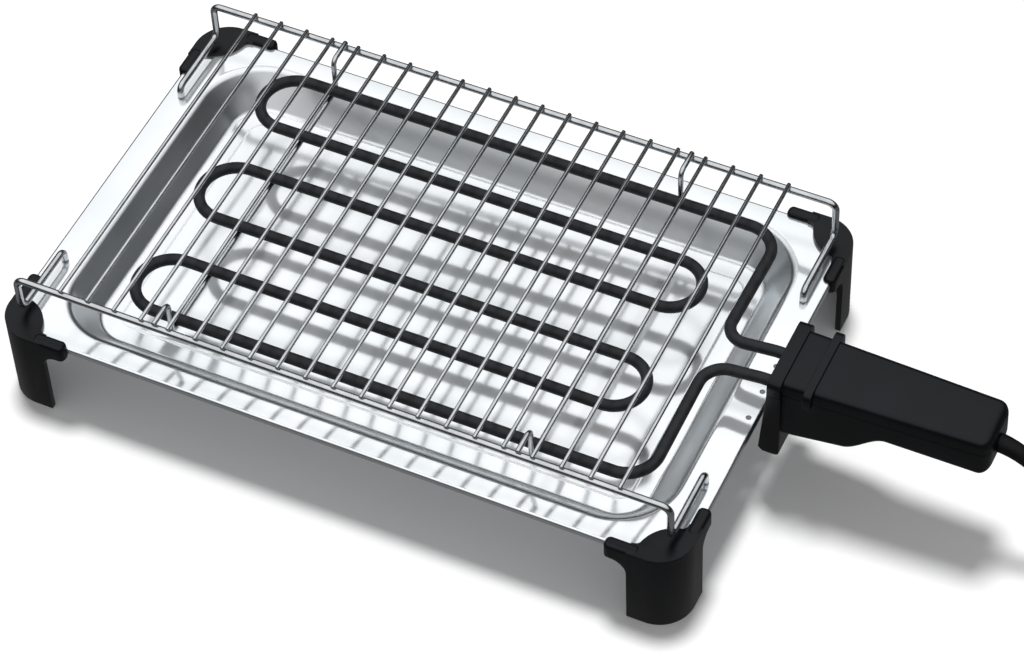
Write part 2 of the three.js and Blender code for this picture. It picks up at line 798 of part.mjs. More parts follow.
function upright(x, y, z0, z1, diameter, sides) {
  return solidOf(rod(new THREE.Vector3(x, y, z0), new THREE.Vector3(x, y, z1), diameter, sides));
}

function alongX(x0, x1, y, z, diameter, sides) {
  return solidOf(rod(new THREE.Vector3(x0, y, z), new THREE.Vector3(x1, y, z), diameter, sides));
}

// The seam cuts the housing into a deep lower shell and a shallow upper one.
function halfSpace(upper) {
  const gap = upper ? weldGap : -weldGap;
  const x0 = apronFace - overrun;
  const x1 = handleEnd + overrun;
  const halfY = collarWidth;
  const z0 = upper ? seamHeight + gap : apronBottom - overrun;
  const z1 = upper ? collarTop + overrun : seamHeight + gap;
  return solidOf(block(x0, x1, -halfY, halfY, z0, z1));
}

function screwHeadZ(x) {
  return Math.max(undersideAt(x) + shellWall, seamHeight - screwLength);
}

function buildHousing() {
  const cavityEnd = handleEnd - shellWall;
  const collarBack = collarFace + collarThickness;
  const collarBottom = handleTop - frontDepth;
  const collar = crossPlate(
    collarFace, collarBack, collarWidth, collarBottom, collarTop, collarCorner,
  );
  const ribX = collarFace + ribAlong;
  const rib = crossPlate(
    ribX, ribX + ribThickness, ribWidth, seamHeight, collarTop, collarCorner,
  );
  const body = handleLoft(collarFace + weldGap, handleEnd, 0);
  const outside = body.add(collar).add(rib).add(apronSolid());
  let shell = outside.subtract(handleLoft(cavityStart, cavityEnd, shellWall));
  const tubeHole = tubeDiameter + seatGap * 2;
  for (const side of [-1, 1]) {
    const y = side * terminalSpan / 2;
    shell = shell.subtract(alongX(
      apronFace - overrun, cavityStart + overrun, y, terminalZ, tubeHole, 12,
    ));
  }
  let lower = shell.intersect(halfSpace(false));
  let upper = shell.intersect(halfSpace(true));
  const bore = screwDiameter + runningGap * 2;
  for (const x of screwPlaces) {
    const bottom = undersideAt(x);
    const headZ = screwHeadZ(x);
    const wellTop = headZ + screwHeadHeight;
    const postFoot = bottom + shellWall / 2;
    lower = lower.add(upright(x, 0, postFoot, seamHeight - weldGap, postDiameter, 12));
    lower = lower.subtract(upright(x, 0, headZ, seamHeight + overrun, bore, 12));
    lower = lower.subtract(upright(x, 0, bottom - overrun, wellTop, screwWell, 12));
    const postTop = handleTop - shellWall / 2;
    const pilotTop = wellTop + screwLength + runningGap;
    upper = upper.add(upright(x, 0, seamHeight + weldGap, postTop, postDiameter, 12));
    upper = upper.subtract(upright(x, 0, seamHeight - overrun, pilotTop, bore, 12));
  }
  for (const side of [-1, 1]) {
    const y = side * clampScrewSpan / 2;
    const x = clampX + clampLength / 2;
    const top = cordExitZ + cordDiameter / 2;
    const bottom = undersideAt(x) + shellWall / 2;
    lower = lower.add(upright(x, y, bottom, top, clampPost, 12));
    lower = lower.subtract(upright(x, y, bottom + shellWall, top + overrun, bore, 12));
  }
  lower = lower.subtract(alongX(
    cavityEnd - overrun, handleEnd + overrun, 0, cordExitZ, reliefNeckHole, 12,
  ));
  addPart('housing_lower', geometryOf(lower), blackPlastic);
  addPart('housing_upper', geometryOf(upper), blackPlastic);
}

// A pan-head screw whose head is at the lower end, or at the upper end when it points down.
function screwGeometry(x, y, headZ, length, pointsUp) {
  const up = pointsUp ? 1 : -1;
  const head = solidOf(rod(
    new THREE.Vector3(x, y, headZ), new THREE.Vector3(x, y, headZ + up * screwHeadHeight), screwHead, 12,
  ));
  const shankStart = headZ + up * screwHeadHeight / 2;
  const shank = solidOf(rod(
    new THREE.Vector3(x, y, shankStart), new THREE.Vector3(x, y, headZ + up * (screwHeadHeight + length)),
    screwDiameter, 8,
  ));
  return geometryOf(head.add(shank));
}

function buildFasteners() {
  const shellScrews = ['shell_screw_front', 'shell_screw_rear'];
  screwPlaces.forEach((place, i) => {
    addPart(shellScrews[i], screwGeometry(place, 0, screwHeadZ(place), screwLength, true), steel);
  });
  const x = clampX + clampLength / 2;
  const barBottom = cordExitZ + cordDiameter / 2 + seatGap;
  let bar = solidOf(block(
    clampX, clampX + clampLength, -clampWidth / 2, clampWidth / 2, barBottom, barBottom + clampHeight,
  ));
  for (const side of [-1, 1]) {
    const y = side * clampScrewSpan / 2;
    const hole = screwDiameter + runningGap * 2;
    bar = bar.subtract(upright(x, y, barBottom - overrun, barBottom + clampHeight + overrun, hole, 12));
  }
  addPart('cord_clamp', geometryOf(bar), blackPlastic);
  const headTop = barBottom + clampHeight + seatGap + screwHeadHeight;
  const clampScrews = ['clamp_screw_front', 'clamp_screw_rear'];
  [-1, 1].forEach((side, i) => {
    const y = side * clampScrewSpan / 2;
    addPart(clampScrews[i], screwGeometry(x, y, headTop, clampScrewLength, false), steel);
  });
}

// What the two tube ends carry behind the collar.
function buildTerminals() {
  const plateX = cavityStart + seatGap;
  const halfPlate = plateWidth / 2;
  let plate = solidOf(block(
    plateX, plateX + plateThickness, -halfPlate, halfPlate, terminalZ - plateBelow, terminalZ + plateAbove,
  ));
  const beadStart = tubeEndX + seatGap;
  const names = ['front', 'rear'];
  [-1, 1].forEach((side, i) => {
    const y = side * terminalSpan / 2;
    const hole = tubeDiameter + runningGap * 2;
    plate = plate.subtract(alongX(plateX - overrun, plateX + overrun, y, terminalZ, hole, 12));
    const bore = pinDiameter + runningGap * 2;
    const bead = alongX(beadStart, beadStart + beadLength, y, terminalZ, beadDiameter, 12)
      .subtract(alongX(beadStart - overrun, beadStart + beadLength + overrun, y, terminalZ, bore, 10));
    addPart(`terminal_bead_${names[i]}`, geometryOf(bead), ceramic);
    const pin = alongX(beadStart, beadStart + pinLength, y, terminalZ, pinDiameter, 10);
    addPart(`terminal_pin_${names[i]}`, geometryOf(pin), steel);
    const sleeveX = beadStart + connectorOffset;
    const sleeve = alongX(sleeveX, sleeveX + connectorLength, y, terminalZ, connectorDiameter, 10)
      .subtract(alongX(sleeveX - overrun, beadStart + pinLength + seatGap, y, terminalZ, bore, 10));
    addPart(`connector_${names[i]}`, geometryOf(sleeve), brass);
  });
  addPart('mounting_plate', geometryOf(plate), steel);
}

// The three leads from the terminals and the plate to the end of the cord.
function buildLeads() {
  const leadStart = tubeEndX + seatGap + connectorOffset + connectorLength + seatGap;
  const endX = cordEndX - seatGap;
  const z = terminalZ;
  const endZ = cordExitZ + leadSpacing / 4;
  const straight = endX - leadBend;
  const lead = (points) => {
    const corners = points.map(([x, y, height]) => new THREE.Vector3(x, y, height));
    return barAlong(bentStations(corners, [leadBend, leadBend], Math.PI / 6), leadDiameter, 8);
  };
  const y = terminalSpan / 2;
  const endY = leadSpacing / 2;
  const live = lead([
    [leadStart, -y, z], [leadTurnX, -y, z], [straight, -endY, endZ], [endX, -endY, endZ],
  ]);
  const neutral = lead([
    [leadStart, y, z], [leadTurnX, y, z], [straight, endY, endZ], [endX, endY, endZ],
  ]);
  const plateFace = cavityStart + seatGap + plateThickness + seatGap;
  const earthZ = z - earthLeadDrop;
  const earthEndZ = cordExitZ - leadSpacing / 2;
  const earth = lead([
    [plateFace, earthLeadY, earthZ], [leadTurnX, earthLeadY, earthZ],
    [straight, 0, earthEndZ], [endX, 0, earthEndZ],
  ]);
  addPart('lead_live', live, { color: 0x6b3f22, metalness: 0, roughness: 0.5 });
  addPart('lead_neutral', neutral, { color: 0x2a4d9c, metalness: 0, roughness: 0.5 });
  addPart('lead_earth', earth, { color: 0x5f9a35, metalness: 0, roughness: 0.5 });
}

// Stations along the relief: straight through the end wall, then bending down under the cord's weight.
function reliefStations() {
  const inside = handleEnd - shellWall - runningGap - reliefFlangeLength;
  const wallOut = handleEnd + seatGap;
  const stations = [
    [inside, reliefFlange], [inside + reliefFlangeLength, reliefFlange],
    [inside + reliefFlangeLength, reliefNeck], [wallOut, reliefNeck], [wallOut, reliefShoulder],
  ].map(([x, diameter]) => ({ point: new THREE.Vector3(x, 0, cordExitZ), pitch: 0, diameter }));
  const steps = 7;
  const stride = reliefLength / steps;
  const point = new THREE.Vector3(wallOut, 0, cordExitZ);
  for (let i = 1; i <= steps; i += 1) {
    const pitch = THREE.MathUtils.lerp(reliefStartPitch, reliefEndPitch, (i - 1 / 2) / steps);
    point.x += stride * Math.cos(pitch);
    point.z -= stride * Math.sin(pitch);
    stations.push({
      point: point.clone(),
      pitch: THREE.MathUtils.lerp(reliefStartPitch, reliefEndPitch, i / steps),
      diameter: THREE.MathUtils.lerp(reliefShoulder, reliefTip, i / steps),
    });
  }
  return stations;
}

function reliefEnd() {
  const last = reliefStations().at(-1);
  return { point: last.point, heading: new THREE.Vector3(Math.cos(last.pitch), 0, -Math.sin(last.pitch)) };
}

function buildRelief() {
  const sides = 12;
  const rings = reliefStations().map(({ point, pitch, diameter }) => (
    Array.from({ length: sides }, (_, i) => {
      const angle = i / sides * 2 * Math.PI;
      const y = Math.cos(angle) * diameter / 2;
      const up = Math.sin(angle) * diameter / 2;
      return [point.x + up * Math.sin(pitch), point.y + y, point.z + up * Math.cos(pitch)];
    })
  )).reverse();
  const stations = reliefStations();
  const tip = stations.at(-1).point;
  const root = stations[0].point;
  addPart('strain_relief', ringSolid(rings, tip.toArray(), root.toArray()), rubber);
  const inner = alongX(cordEndX, root.x - seatGap, 0, cordExitZ, cordDiameter, 12);
  addPart('cord_inner', geometryOf(inner), rubber);
}

// A hand-chosen point of the cord's route.
function routePoint([beyond, y, z]) {
  return new THREE.Vector3(handleEnd + beyond, y, z);
}

// The free cord from the relief down to the table and up onto the coil's outer turn.
function freeCordPoints() {
  const { point, heading } = reliefEnd();
  const start = point.clone().addScaledVector(heading, seatGap);
  const end = coilPoints()[0].clone();
  end.y -= seatGap;
  return [
    start,
    start.clone().addScaledVector(heading, cordDiameter * 2),
    ...cordRoute.map(routePoint),
    end.clone().add(new THREE.Vector3(0, -cordDiameter, 0)),
    end,
  ];
}

// A tube along a smooth curve through the points, as stations at equal steps.
function curveStations(points, steps) {
  const curve = new THREE.CatmullRomCurve3(points, false, 'centripetal');
  const stations = [];
  for (let i = 0; i <= steps; i += 1) {
    stations.push({ point: curve.getPointAt(i / steps), tangent: curve.getTangentAt(i / steps) });
  }
  return { stations, length: curve.getLength() };
}

// The unseen length, wound as an open coil: in on the upper layer, down a layer in the half turn
// where the spiral reverses, and out again on the lower one. Both ends run straight for a diameter.
function coilPoints() {
  const points = [];
  const half = 0.5;
  const total = turnsIn + half + turnsOut;
  const steps = Math.round(total * coilSteps);
  const reversal = turnsIn + half / 2;
  const lowZ = cordDiameter / 2 + layGap;
  for (let i = 0; i <= steps; i += 1) {
    const turn = i / coilSteps;
    const angle = turn * 2 * Math.PI;
    const radius = coilRadius - coilPitch * (reversal - Math.abs(turn - reversal));
    const climb = THREE.MathUtils.clamp((turn - turnsIn) / half, 0, 1);
    points.push(new THREE.Vector3(
      coilCentre.x + radius * Math.cos(angle),
      coilCentre.y + radius * Math.sin(angle),
      lowZ + coilPitch * (1 - climb),
    ));
  }
  const first = points[0].clone().add(new THREE.Vector3(0, -cordDiameter, 0));
  const last = points.at(-1).clone().add(new THREE.Vector3(0, cordDiameter, 0));
  return [first, ...points, last];
}

function coilStations() {
  const points = coilPoints();
  return points.map((point, i) => {
    const before = points[Math.max(0, i - 1)];
    const after = points[Math.min(points.length - 1, i + 1)];
    const tangent = new THREE.Vector3().subVectors(after, before);
    if (i < 2 || i > points.length - 3) tangent.set(0, 1, 0);
    return { point, tangent: tangent.normalize() };
  });
}

// The least gap of the wound cord to itself, measured between points of turns that pass each other.
function leastCoilGap(points) {
  let least = Infinity;
  const apart = Math.round(coilSteps / 2);
  for (let i = 0; i < points.length; i += 1) {
    for (let j = i + apart; j + 1 < points.length; j += 1) {
      const run = new THREE.Line3(points[j], points[j + 1]);
      const near = run.closestPointToPoint(points[i], true, new THREE.Vector3());
      least = Math.min(least, near.distanceTo(points[i]) - cordDiameter);
    }
  }
  return least;
}

// The plug lies on its waist and its face rim, so its neck points a little down and stays off the table.
function plugFrame() {
  const end = plugNeckLength + plugBodyLength;
  const waistX = plugNeckLength + plugWaistOffset;
  const rimX = end - plugFaceRim;
  const tilt = Math.atan2((plugDiameter - plugWaist) / 2, rimX - waistX);
  const neckZ = plugDiameter / 2 * Math.cos(tilt) - rimX * Math.sin(tilt) + weldGap;
  return { tilt, waistX, rimX, end, neck: new THREE.Vector3(handleEnd + plugBeyond, plugAside, neckZ) };
}

function tailPoints() {
  const { tilt, neck } = plugFrame();
  const start = coilPoints().at(-1).clone();
  start.y += seatGap;
  const heading = new THREE.Vector3(-Math.cos(tilt), 0, Math.sin(tilt));
  const end = neck.clone().addScaledVector(heading, -seatGap);
  return [
    start,
    start.clone().add(new THREE.Vector3(0, cordDiameter, 0)),
    ...tailRoute.map(routePoint),
    end.clone().addScaledVector(heading, -cordDiameter),
    end,
  ];
}

function buildCord() {
  const free = curveStations(freeCordPoints(), 22);
  addPart('power_cord', barAlong(free.stations, cordDiameter, 8), rubber);
  const coil = coilStations();
  addPart('cord_coil', barAlong(coil, cordDiameter, coilSides), rubber);
  const tail = curveStations(tailPoints(), 10);
  addPart('cord_tail', barAlong(tail.stations, cordDiameter, 8), rubber);
  let wound = 0;
  for (let i = 1; i < coil.length; i += 1) wound += coil[i].point.distanceTo(coil[i - 1].point);
  const total = reliefLength + free.length + wound + tail.length;
  console.log(`cord length ${total.toFixed(0)} mm, coil ${wound.toFixed(0)} mm`);
  console.log(`least gap of the coil to itself ${leastCoilGap(coilPoints()).toFixed(2)} mm`);
}

// The round mains plug with its pins towards -X.
function buildPlug() {
  const { tilt, waistX, rimX, end, neck } = plugFrame();
  const place = (geometry) => geometry.rotateY(Math.PI + tilt).translate(neck.x, neck.y, neck.z);
  const faceX = end - plugRecess;
  const profile = [
    [0, 0], [0, plugNeck / 2], [plugNeckLength, plugNeck / 2 + plugFaceRim], [waistX, plugWaist / 2],
    [rimX, plugDiameter / 2], [end, plugDiameter / 2 - plugFaceRim], [end, plugWaist / 2 - plugFaceRim],
    [faceX, plugWaist / 2 - plugFaceRim], [faceX, 0],
  ];
  let body = solidOf(turned(profile, 24));
  const names = ['front', 'rear'];
  const pins = [-1, 1].map((side) => {
    const y = side * plugPinSpan / 2;
    const hole = plugPin + runningGap * 2;
    body = body.subtract(alongX(faceX - plugPinSocket - seatGap, end + overrun, y, 0, hole, 12));
    return alongX(faceX - plugPinSocket, faceX + plugPinLength, y, 0, plugPin, 12);
  });
  pins.forEach((pin, i) => addPart(`plug_pin_${names[i]}`, place(geometryOf(pin)), chrome));
  const stripX0 = end - earthStripLength;
  const stripNames = ['plug_earth_top', 'plug_earth_bottom'];
  [1, -1].forEach((side, i) => {
    const outZ = plugWaist / 2 - plugFaceRim * 2;
    const inZ = outZ - earthStripThickness;
    const low = Math.min(side * inZ, side * outZ);
    const high = Math.max(side * inZ, side * outZ);
    const halfY = earthStripWidth / 2;
    const wideY = halfY + runningGap;
    const endX = end - runningGap;
    const strip = solidOf(block(stripX0, endX, -halfY, halfY, low, high));
    const pocket = solidOf(block(
      stripX0 - runningGap, end + overrun, -wideY, wideY, low - runningGap, high + runningGap,
    ));
    body = body.subtract(pocket);
    addPart(stripNames[i], place(geometryOf(strip)), brass);
  });
  addPart('plug_body', place(geometryOf(body)), rubber);
}

buildTray();
buildFeet();
buildLongWire('rack_wire_front', -1);
buildLongWire('rack_wire_rear', 1);
buildCrossWires();
buildSupportBar('support_bar_left', -1);
buildSupportBar('support_bar_right', 1);
buildHeater();
buildHousing();
buildFasteners();
buildTerminals();
buildLeads();
buildRelief();
buildCord();
buildPlug();

export default grill;
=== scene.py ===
"""An electric table grill on a pale studio floor: a polished steel drip tray on four moulded feet, a
chromed wire rack, a charcoal tubular heater and a black handle, whose supply cord lies coiled beside it."""

import math

import bpy
import numpy as np
from mathutils import Matrix, Vector


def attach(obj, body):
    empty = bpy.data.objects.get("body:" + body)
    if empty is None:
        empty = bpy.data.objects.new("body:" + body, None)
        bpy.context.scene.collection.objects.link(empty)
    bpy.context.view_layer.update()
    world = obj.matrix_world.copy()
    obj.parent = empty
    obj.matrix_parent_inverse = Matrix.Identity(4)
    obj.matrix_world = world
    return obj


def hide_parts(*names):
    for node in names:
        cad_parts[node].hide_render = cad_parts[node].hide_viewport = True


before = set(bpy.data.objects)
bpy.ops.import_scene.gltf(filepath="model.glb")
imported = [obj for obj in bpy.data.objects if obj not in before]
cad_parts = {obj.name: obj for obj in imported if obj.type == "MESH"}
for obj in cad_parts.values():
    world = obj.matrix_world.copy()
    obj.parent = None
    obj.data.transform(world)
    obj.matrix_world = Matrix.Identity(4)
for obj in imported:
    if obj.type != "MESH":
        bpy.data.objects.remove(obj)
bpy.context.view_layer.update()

MM = 0.001
TO_HANDLE = np.array([1.0, 0.0, 0.0])
UP = np.array([0.0, 0.0, 1.0])

# Sizes in millimetres from the middle of the tray, on the table: X to the handle, Y to the rear, Z up.
# The middle of the whole part lies this far towards the handle.
ORIGIN_X = 61.7

# Drip tray: one pressed sheet, from the raised panel in its floor to the rim that is turned down.
TRAY = (400.0, 245.0)
TRAY_TOP = 53.0
TRAY_CORNER = 16.0
SHEET = 0.8
RIM_DROP = 3.6
RIM_BEND = 1.5
MOUTH = (365.6, 223.6)
MOUTH_CORNER = 38.0
BASIN_DEPTH = 20.0
BASIN_LIP = 6.0
BASIN_FOOT = 4.0
BASIN_SLOPE = math.radians(52)
CHANNEL_WIDTH = 8.4
PANEL_RISE = 0.8
PANEL_BEND = 1.5
PANEL_SLOPE = math.radians(35)
FLANGE_HOLE = 3.2
FLANGE_HOLE_X = 195.2
FLANGE_HOLE_PITCH = 19.0

# Feet: the corner with X and Y positive.
FOOT_OUT = (202.6, 127.0)
FOOT_COVER = 4.0
FOOT_ARM_WIDTH = 7.6
FOOT_ARM_LENGTH = 43.5
FOOT_ARM_ROOT = 6.0
FOOT_ARM_TOP = 2.8
FOOT_ARM_ROUND = 2.5
FOOT_ARM_END = 3.0
FOOT_PLATE_TOP = 2.2
FOOT_WALL = 3.2
FOOT_CORNER = 20.0
FOOT_LOBE = 21.5
FOOT_LOBE_INSET = 5.0
FOOT_LOBE_FILLET = 3.5
FOOT_LEG_REACH = 30.2
FOOT_FILLET = 9.0
FOOT_EDGE = 0.7
FOOT_SKIRT = 7.0
FOOT_SKIRT_Z = TRAY_TOP - FOOT_SKIRT
FOOT_LEG_END = (FOOT_OUT[0] - FOOT_LEG_REACH, FOOT_OUT[1] - FOOT_LEG_REACH)
FOOT_CORNER_CENTRE = (FOOT_OUT[0] - FOOT_CORNER, FOOT_OUT[1] - FOOT_CORNER)
SEAT_GAP = 0.3

# Rack: wire diameters, heights of the wires' middles, and bends to the wires' middles.
LONG_WIRE = 4.0
LONG_WIRE_Z = 84.5
LONG_WIRE_RIM = 0.6
RACK_HALF = (191.0, 112.0)
LEG_FOOT_Y = 67.0
LEG_RUN_Z = 60.5
LEG_BEND = 5.0
TIP_BEND = 4.0
CROSS_WIRE = 2.3
CROSS_WIRE_Z = 87.8
CROSS_WIRE_RIM = 0.35
CROSS_COUNT = 21
CROSS_PITCH = 16.32
WIRE_REACH = 113.0
SUPPORT_BAR = 3.0
SUPPORT_BAR_RIM = 0.5
BAR_TOP_Z = 88.15
BAR_LOW_Z = 64.9
BAR_DROP_Y = 97.0
BAR_BEND = 4.0
BAR_PITCHES = 6.5

# Heater: one tube with six long runs, from terminal to terminal.
TUBE = 6.6
TUBE_RIM = 0.5
HEATER_Z = 70.0
RUN_OUTER_Y = 91.5
RUN_MIDDLE_Y = 53.8
RUN_INNER_Y = 19.5
RUN_LEFT_X = -138.8
RUN_TURN_X = 143.3
RUN_RIGHT_X = 168.0
OUTER_BEND = 18.0
INLET_X = 198.5
INLET_BEND = 13.0
TERMINAL_X = 222.4
TERMINAL_Y = 9.8
TERMINAL_Z = 77.5
TERMINAL_BEND = 12.0

# Handle: collar, apron and rib across it, and its underside from the collar to the end.
COLLAR_X = (206.5, 214.0)
COLLAR_HALF = 24.0
COLLAR_TOP = 93.5
COLLAR_CORNER = 5.0
APRON_X = (202.7, 214.5)
APRON_BOTTOM = 36.0
RIB_X = (226.5, 231.0)
RIB_HALF = 24.8
HANDLE_START = 206.65
HANDLE_END = 326.0
HANDLE_TOP = 92.0
HANDLE_HALF = (20.5, 16.5)
HANDLE_FLARE = 1.4
HANDLE_EDGE = 4.0
HANDLE_END_CORNER = 6.0
HANDLE_ROUND = 1.6
LEAST_EDGE = 1.0
FRONT_UNDER_Z = 51.0
GUARD_UNDER_Z = 55.0
GRIP_UNDER_Z = 69.5
END_UNDER_Z = 67.0
GUARD_X = 247.0
GRIP_X = 271.0
SEAM_Z = 83.0
SEAM_GAP = 0.15
SHELL_WALL = 2.4
TUBE_BORE = TUBE + 2 * SEAT_GAP
SCREW_WELL = 6.4
SCREW_WELL_X = (246.0, 270.0)
OUTLET = 9.6
OUTLET_DEPTH = 6.0

# Bend relief: its flange inside the wall, its neck through the wall, its shoulder and its taper.
RELIEF_FLANGE = 12.0
RELIEF_FLANGE_LENGTH = 3.0
RELIEF_NECK = 9.0
RELIEF_SHOULDER = 10.4
RELIEF_TIP = 8.4
RELIEF_LENGTH = 28.0
RELIEF_STEPS = 7
RELIEF_PITCH = (math.radians(8), math.radians(52))
RELIEF_PLAY = 0.2

# Supply cord: two wound layers that lie on the table, a tie round them, and the plug.
CORD = 7.0
CORD_SLACK = 0.02
CORD_EXIT_Z = 77.0
CORD_STEP = 4.0
COIL_CENTRE = (381.0, 122.0)
COIL_RADIUS = 54.0
COIL_PITCH = 7.6
COIL_STEPS = 36
TURNS_IN = 3.0
TURNS_DOWN = 0.5
TURNS_OUT = 2.5
LAY_GAP = 0.1
TIE_WIDTH = 8.0
TIE_SHEET = 0.4
TIE_SLACK = 0.5
TIE_LOW = 0.02
TIE_CORNER = 4.2
TIE_SHARE = 0.75
PLUG_NECK = (365.0, 187.0)
PLUG_FACE = 37.0
PLUG_FACE_X = 55.4
PLUG_WAIST = 33.0
PLUG_WAIST_X = 35.0
PLUG_GAP = 0.15

# How finely a wire is bent: the turn between two stations, and the distance under which two are one.
BEND_STEP = math.radians(7.5)
SAME_PLACE = 0.001

# How far a tool that cuts a solid reaches past it, and half the width of the block that keeps one shell.
OVERRUN = 3.0
KEEP_HALF = 50.0

# Floor: half its width, and the heights of its two faces.
FLOOR_HALF = 40000.0
FLOOR_Z = (-20.0, -0.05)

# The camera: where its lens is, and which way its picture's right side and its depth run. These were
# solved from the picture's corners and edges.
CAMERA_PLACE = (626.9, -1116.7, 1543.3)
CAMERA_RIGHT = (0.9048, 0.4245, -0.0331)
CAMERA_AHEAD = (-0.2948, 0.5685, -0.7680)
CAMERA_SENSOR = 36.0
CAMERA_LENS = 126.87
CAMERA_SHIFT = (0.0007, -0.0061)
CAMERA_REACH = (0.05, 60.0)

# Light: a broad lamp that shines along LAMP_AIM, an even surround, and the room that the metal mirrors.
# ROOM_AXIS leads from its floor to its ceiling, and is about half as long as a direction, so that its
# part along a direction plus a half is a share of that way. ROOM_SHARES pairs such a share with the
# brightness there.
LAMP_STRENGTH = 2.6
LAMP_SPREAD = math.radians(13)
LAMP_AIM = (8.0, -15.0, -75.0)
SURROUND = (0.4, 0.4, 0.402, 1.0)
BACKDROP = (1.0, 1.0, 1.0, 1.0)
ROOM_AXIS = (-0.05, -0.04, 0.5)
ROOM_SHARES = (
    (0.0, 0.2), (0.4, 0.14), (0.5, 0.02), (0.7, 0.03), (0.725, 0.07), (0.75, 0.36), (0.79, 0.97),
    (0.85, 1.14), (0.89, 1.26), (1.0, 1.32),
)


def linear(hex_colour):
    """An sRGB hex colour as linear red, green, blue and alpha: each part divided by 12.92 where it is
    dark, and otherwise raised to the power 2.4 after its offset of 0.055."""
    parts = [int(hex_colour[i:i + 2], 16) / 255 for i in (1, 3, 5)]
    return [p / 12.92 if p <= 0.04045 else ((p + 0.055) / 1.055) ** 2.4 for p in parts] + [1.0]


def node(tree, kind, settings=None, links=None):
    """Adds one shader node. A setting named after an input, or numbered, sets that input, and any other
    sets the node itself. A link feeds the input that it names from another node's output."""
    made = tree.nodes.new(kind)
    for name, value in (settings or {}).items():
        if isinstance(name, int) or name in made.inputs:
            made.inputs[name].default_value = value
        else:
            setattr(made, name, value)
    for name, output in (links or {}).items():
        tree.links.new(output, made.inputs[name])
    return made


def bare_finish(name, settings):
    """A finish before its patterns: a material, its nodes and its shader with the even settings."""
    material = bpy.data.materials.new(name)
    material.use_nodes = True
    tree = material.node_tree
    shader = next(n for n in tree.nodes if n.type == "BSDF_PRINCIPLED")
    for socket, value in settings.items():
        shader.inputs[socket].default_value = value
    return material, tree, shader


def drift(tree, size_mm, low, high, spread=0.2, detail=3.0, stretch=(1.0, 1.0, 1.0)):
    """A value that drifts over the piece: noise in Object coordinates with features of size_mm, whose
    values within spread of its middle are carried onto low to high."""
    place = node(tree, "ShaderNodeTexCoord")
    drawn = node(tree, "ShaderNodeMapping", {"Scale": stretch}, {"Vector": place.outputs["Object"]})
    noise = node(
        tree, "ShaderNodeTexNoise", {"Scale": 1 / (size_mm * MM), "Detail": detail},
        {"Vector": drawn.outputs["Vector"]},
    )
    carried = node(
        tree, "ShaderNodeMapRange",
        {"From Min": 0.5 - spread, "From Max": 0.5 + spread, "To Min": low, "To Max": high},
        {"Value": noise.outputs["Fac"]},
    )
    return carried.outputs["Result"]


def tint(tree, shader, first, second, size_mm, detail=3.0):
    """The colour drifts between two hex colours over blotches of size_mm."""
    share = drift(tree, size_mm, 0.0, 1.0, spread=0.15, detail=detail)
    mixed = node(
        tree, "ShaderNodeMix", {"data_type": "RGBA", 6: linear(first), 7: linear(second)}, {0: share},
    )
    tree.links.new(mixed.outputs[2], shader.inputs["Base Color"])


def dull(tree, shader, low, high, size_mm, detail=3.0):
    """The roughness drifts from low to high over marks of size_mm."""
    tree.links.new(drift(tree, size_mm, low, high, detail=detail), shader.inputs["Roughness"])


def pit(tree, shader, size_mm, depth_mm, strength, detail=3.0):
    """The surface rises and falls by depth_mm over pits of size_mm."""
    height = drift(tree, size_mm, 0.0, 1.0, spread=0.5, detail=detail)
    bump = node(tree, "ShaderNodeBump", {"Distance": depth_mm * MM, "Strength": strength}, {"Height": height})
    tree.links.new(bump.outputs["Normal"], shader.inputs["Normal"])


def polished_steel():
    """Stainless steel: sheet that was rolled, drawn in a press and polished. The eye gets a mirror under a
    light haze on the flat floor and flange, with faint rolling lines along X, and a satin sheen where the
    sheet leans, because drawing roughened it there. It counts as flat where its normal stands upright to
    the last 3 hundredths. Polishing leaves clouds about as wide as the wheel's track, 60 mm. Rolling lines
    are finer than 0.1 mm: they are drawn 5 mm wide and 250 mm long, so that they show."""
    material, tree, shader = bare_finish("stainless_sheet_polished", {})
    tint(tree, shader, "#e6ebee", "#eff2f4", size_mm=60)
    place = node(tree, "ShaderNodeTexCoord")
    lean = node(tree, "ShaderNodeSeparateXYZ", links={"Vector": place.outputs["Normal"]})
    rolled = drift(tree, 5, 0.09, 0.11, detail=2.0, stretch=(0.02, 1.0, 1.0))
    flat = {"From Min": 0.97, "From Max": 1.0}
    mirror = node(
        tree, "ShaderNodeMapRange", {**flat, "To Min": 1.0, "To Max": 0.7}, {"Value": lean.outputs["Z"]},
    )
    satin = node(
        tree, "ShaderNodeMapRange", {**flat, "To Min": 0.28}, {"Value": lean.outputs["Z"], "To Max": rolled},
    )
    tree.links.new(mirror.outputs["Result"], shader.inputs["Metallic"])
    tree.links.new(satin.outputs["Result"], shader.inputs["Roughness"])
    return material


def chrome_plate():
    """Chromium: plated on drawn steel wire. The eye gets a bright grey metal, a little dull from use, with
    clouds of 9 mm from the bath. Draw marks are about 0.05 mm wide: they are drawn 0.8 mm wide, so that
    they show."""
    material, tree, shader = bare_finish("chrome_plated_wire", {"Metallic": 1.0})
    tint(tree, shader, "#b4b7ba", "#c4c7ca", size_mm=9)
    dull(tree, shader, 0.14, 0.28, size_mm=0.8, detail=2.0)
    return material


def oxidised_sheath():
    """Steel tube: annealed, which left a skin of oxide. The eye gets a matt charcoal with soft clouds of
    5 mm, as the heat leaves them. The oxide's grit is about 0.05 mm: it is drawn 0.5 mm wide, so that it
    shows."""
    settings = {"Metallic": 0.1, "Specular IOR Level": 0.28}
    material, tree, shader = bare_finish("oxidised_steel_sheath", settings)
    tint(tree, shader, "#1c1d1f", "#27292b", size_mm=5, detail=5.0)
    dull(tree, shader, 0.45, 0.6, size_mm=5, detail=5.0)
    pit(tree, shader, size_mm=0.5, depth_mm=0.02, strength=0.6)
    return material


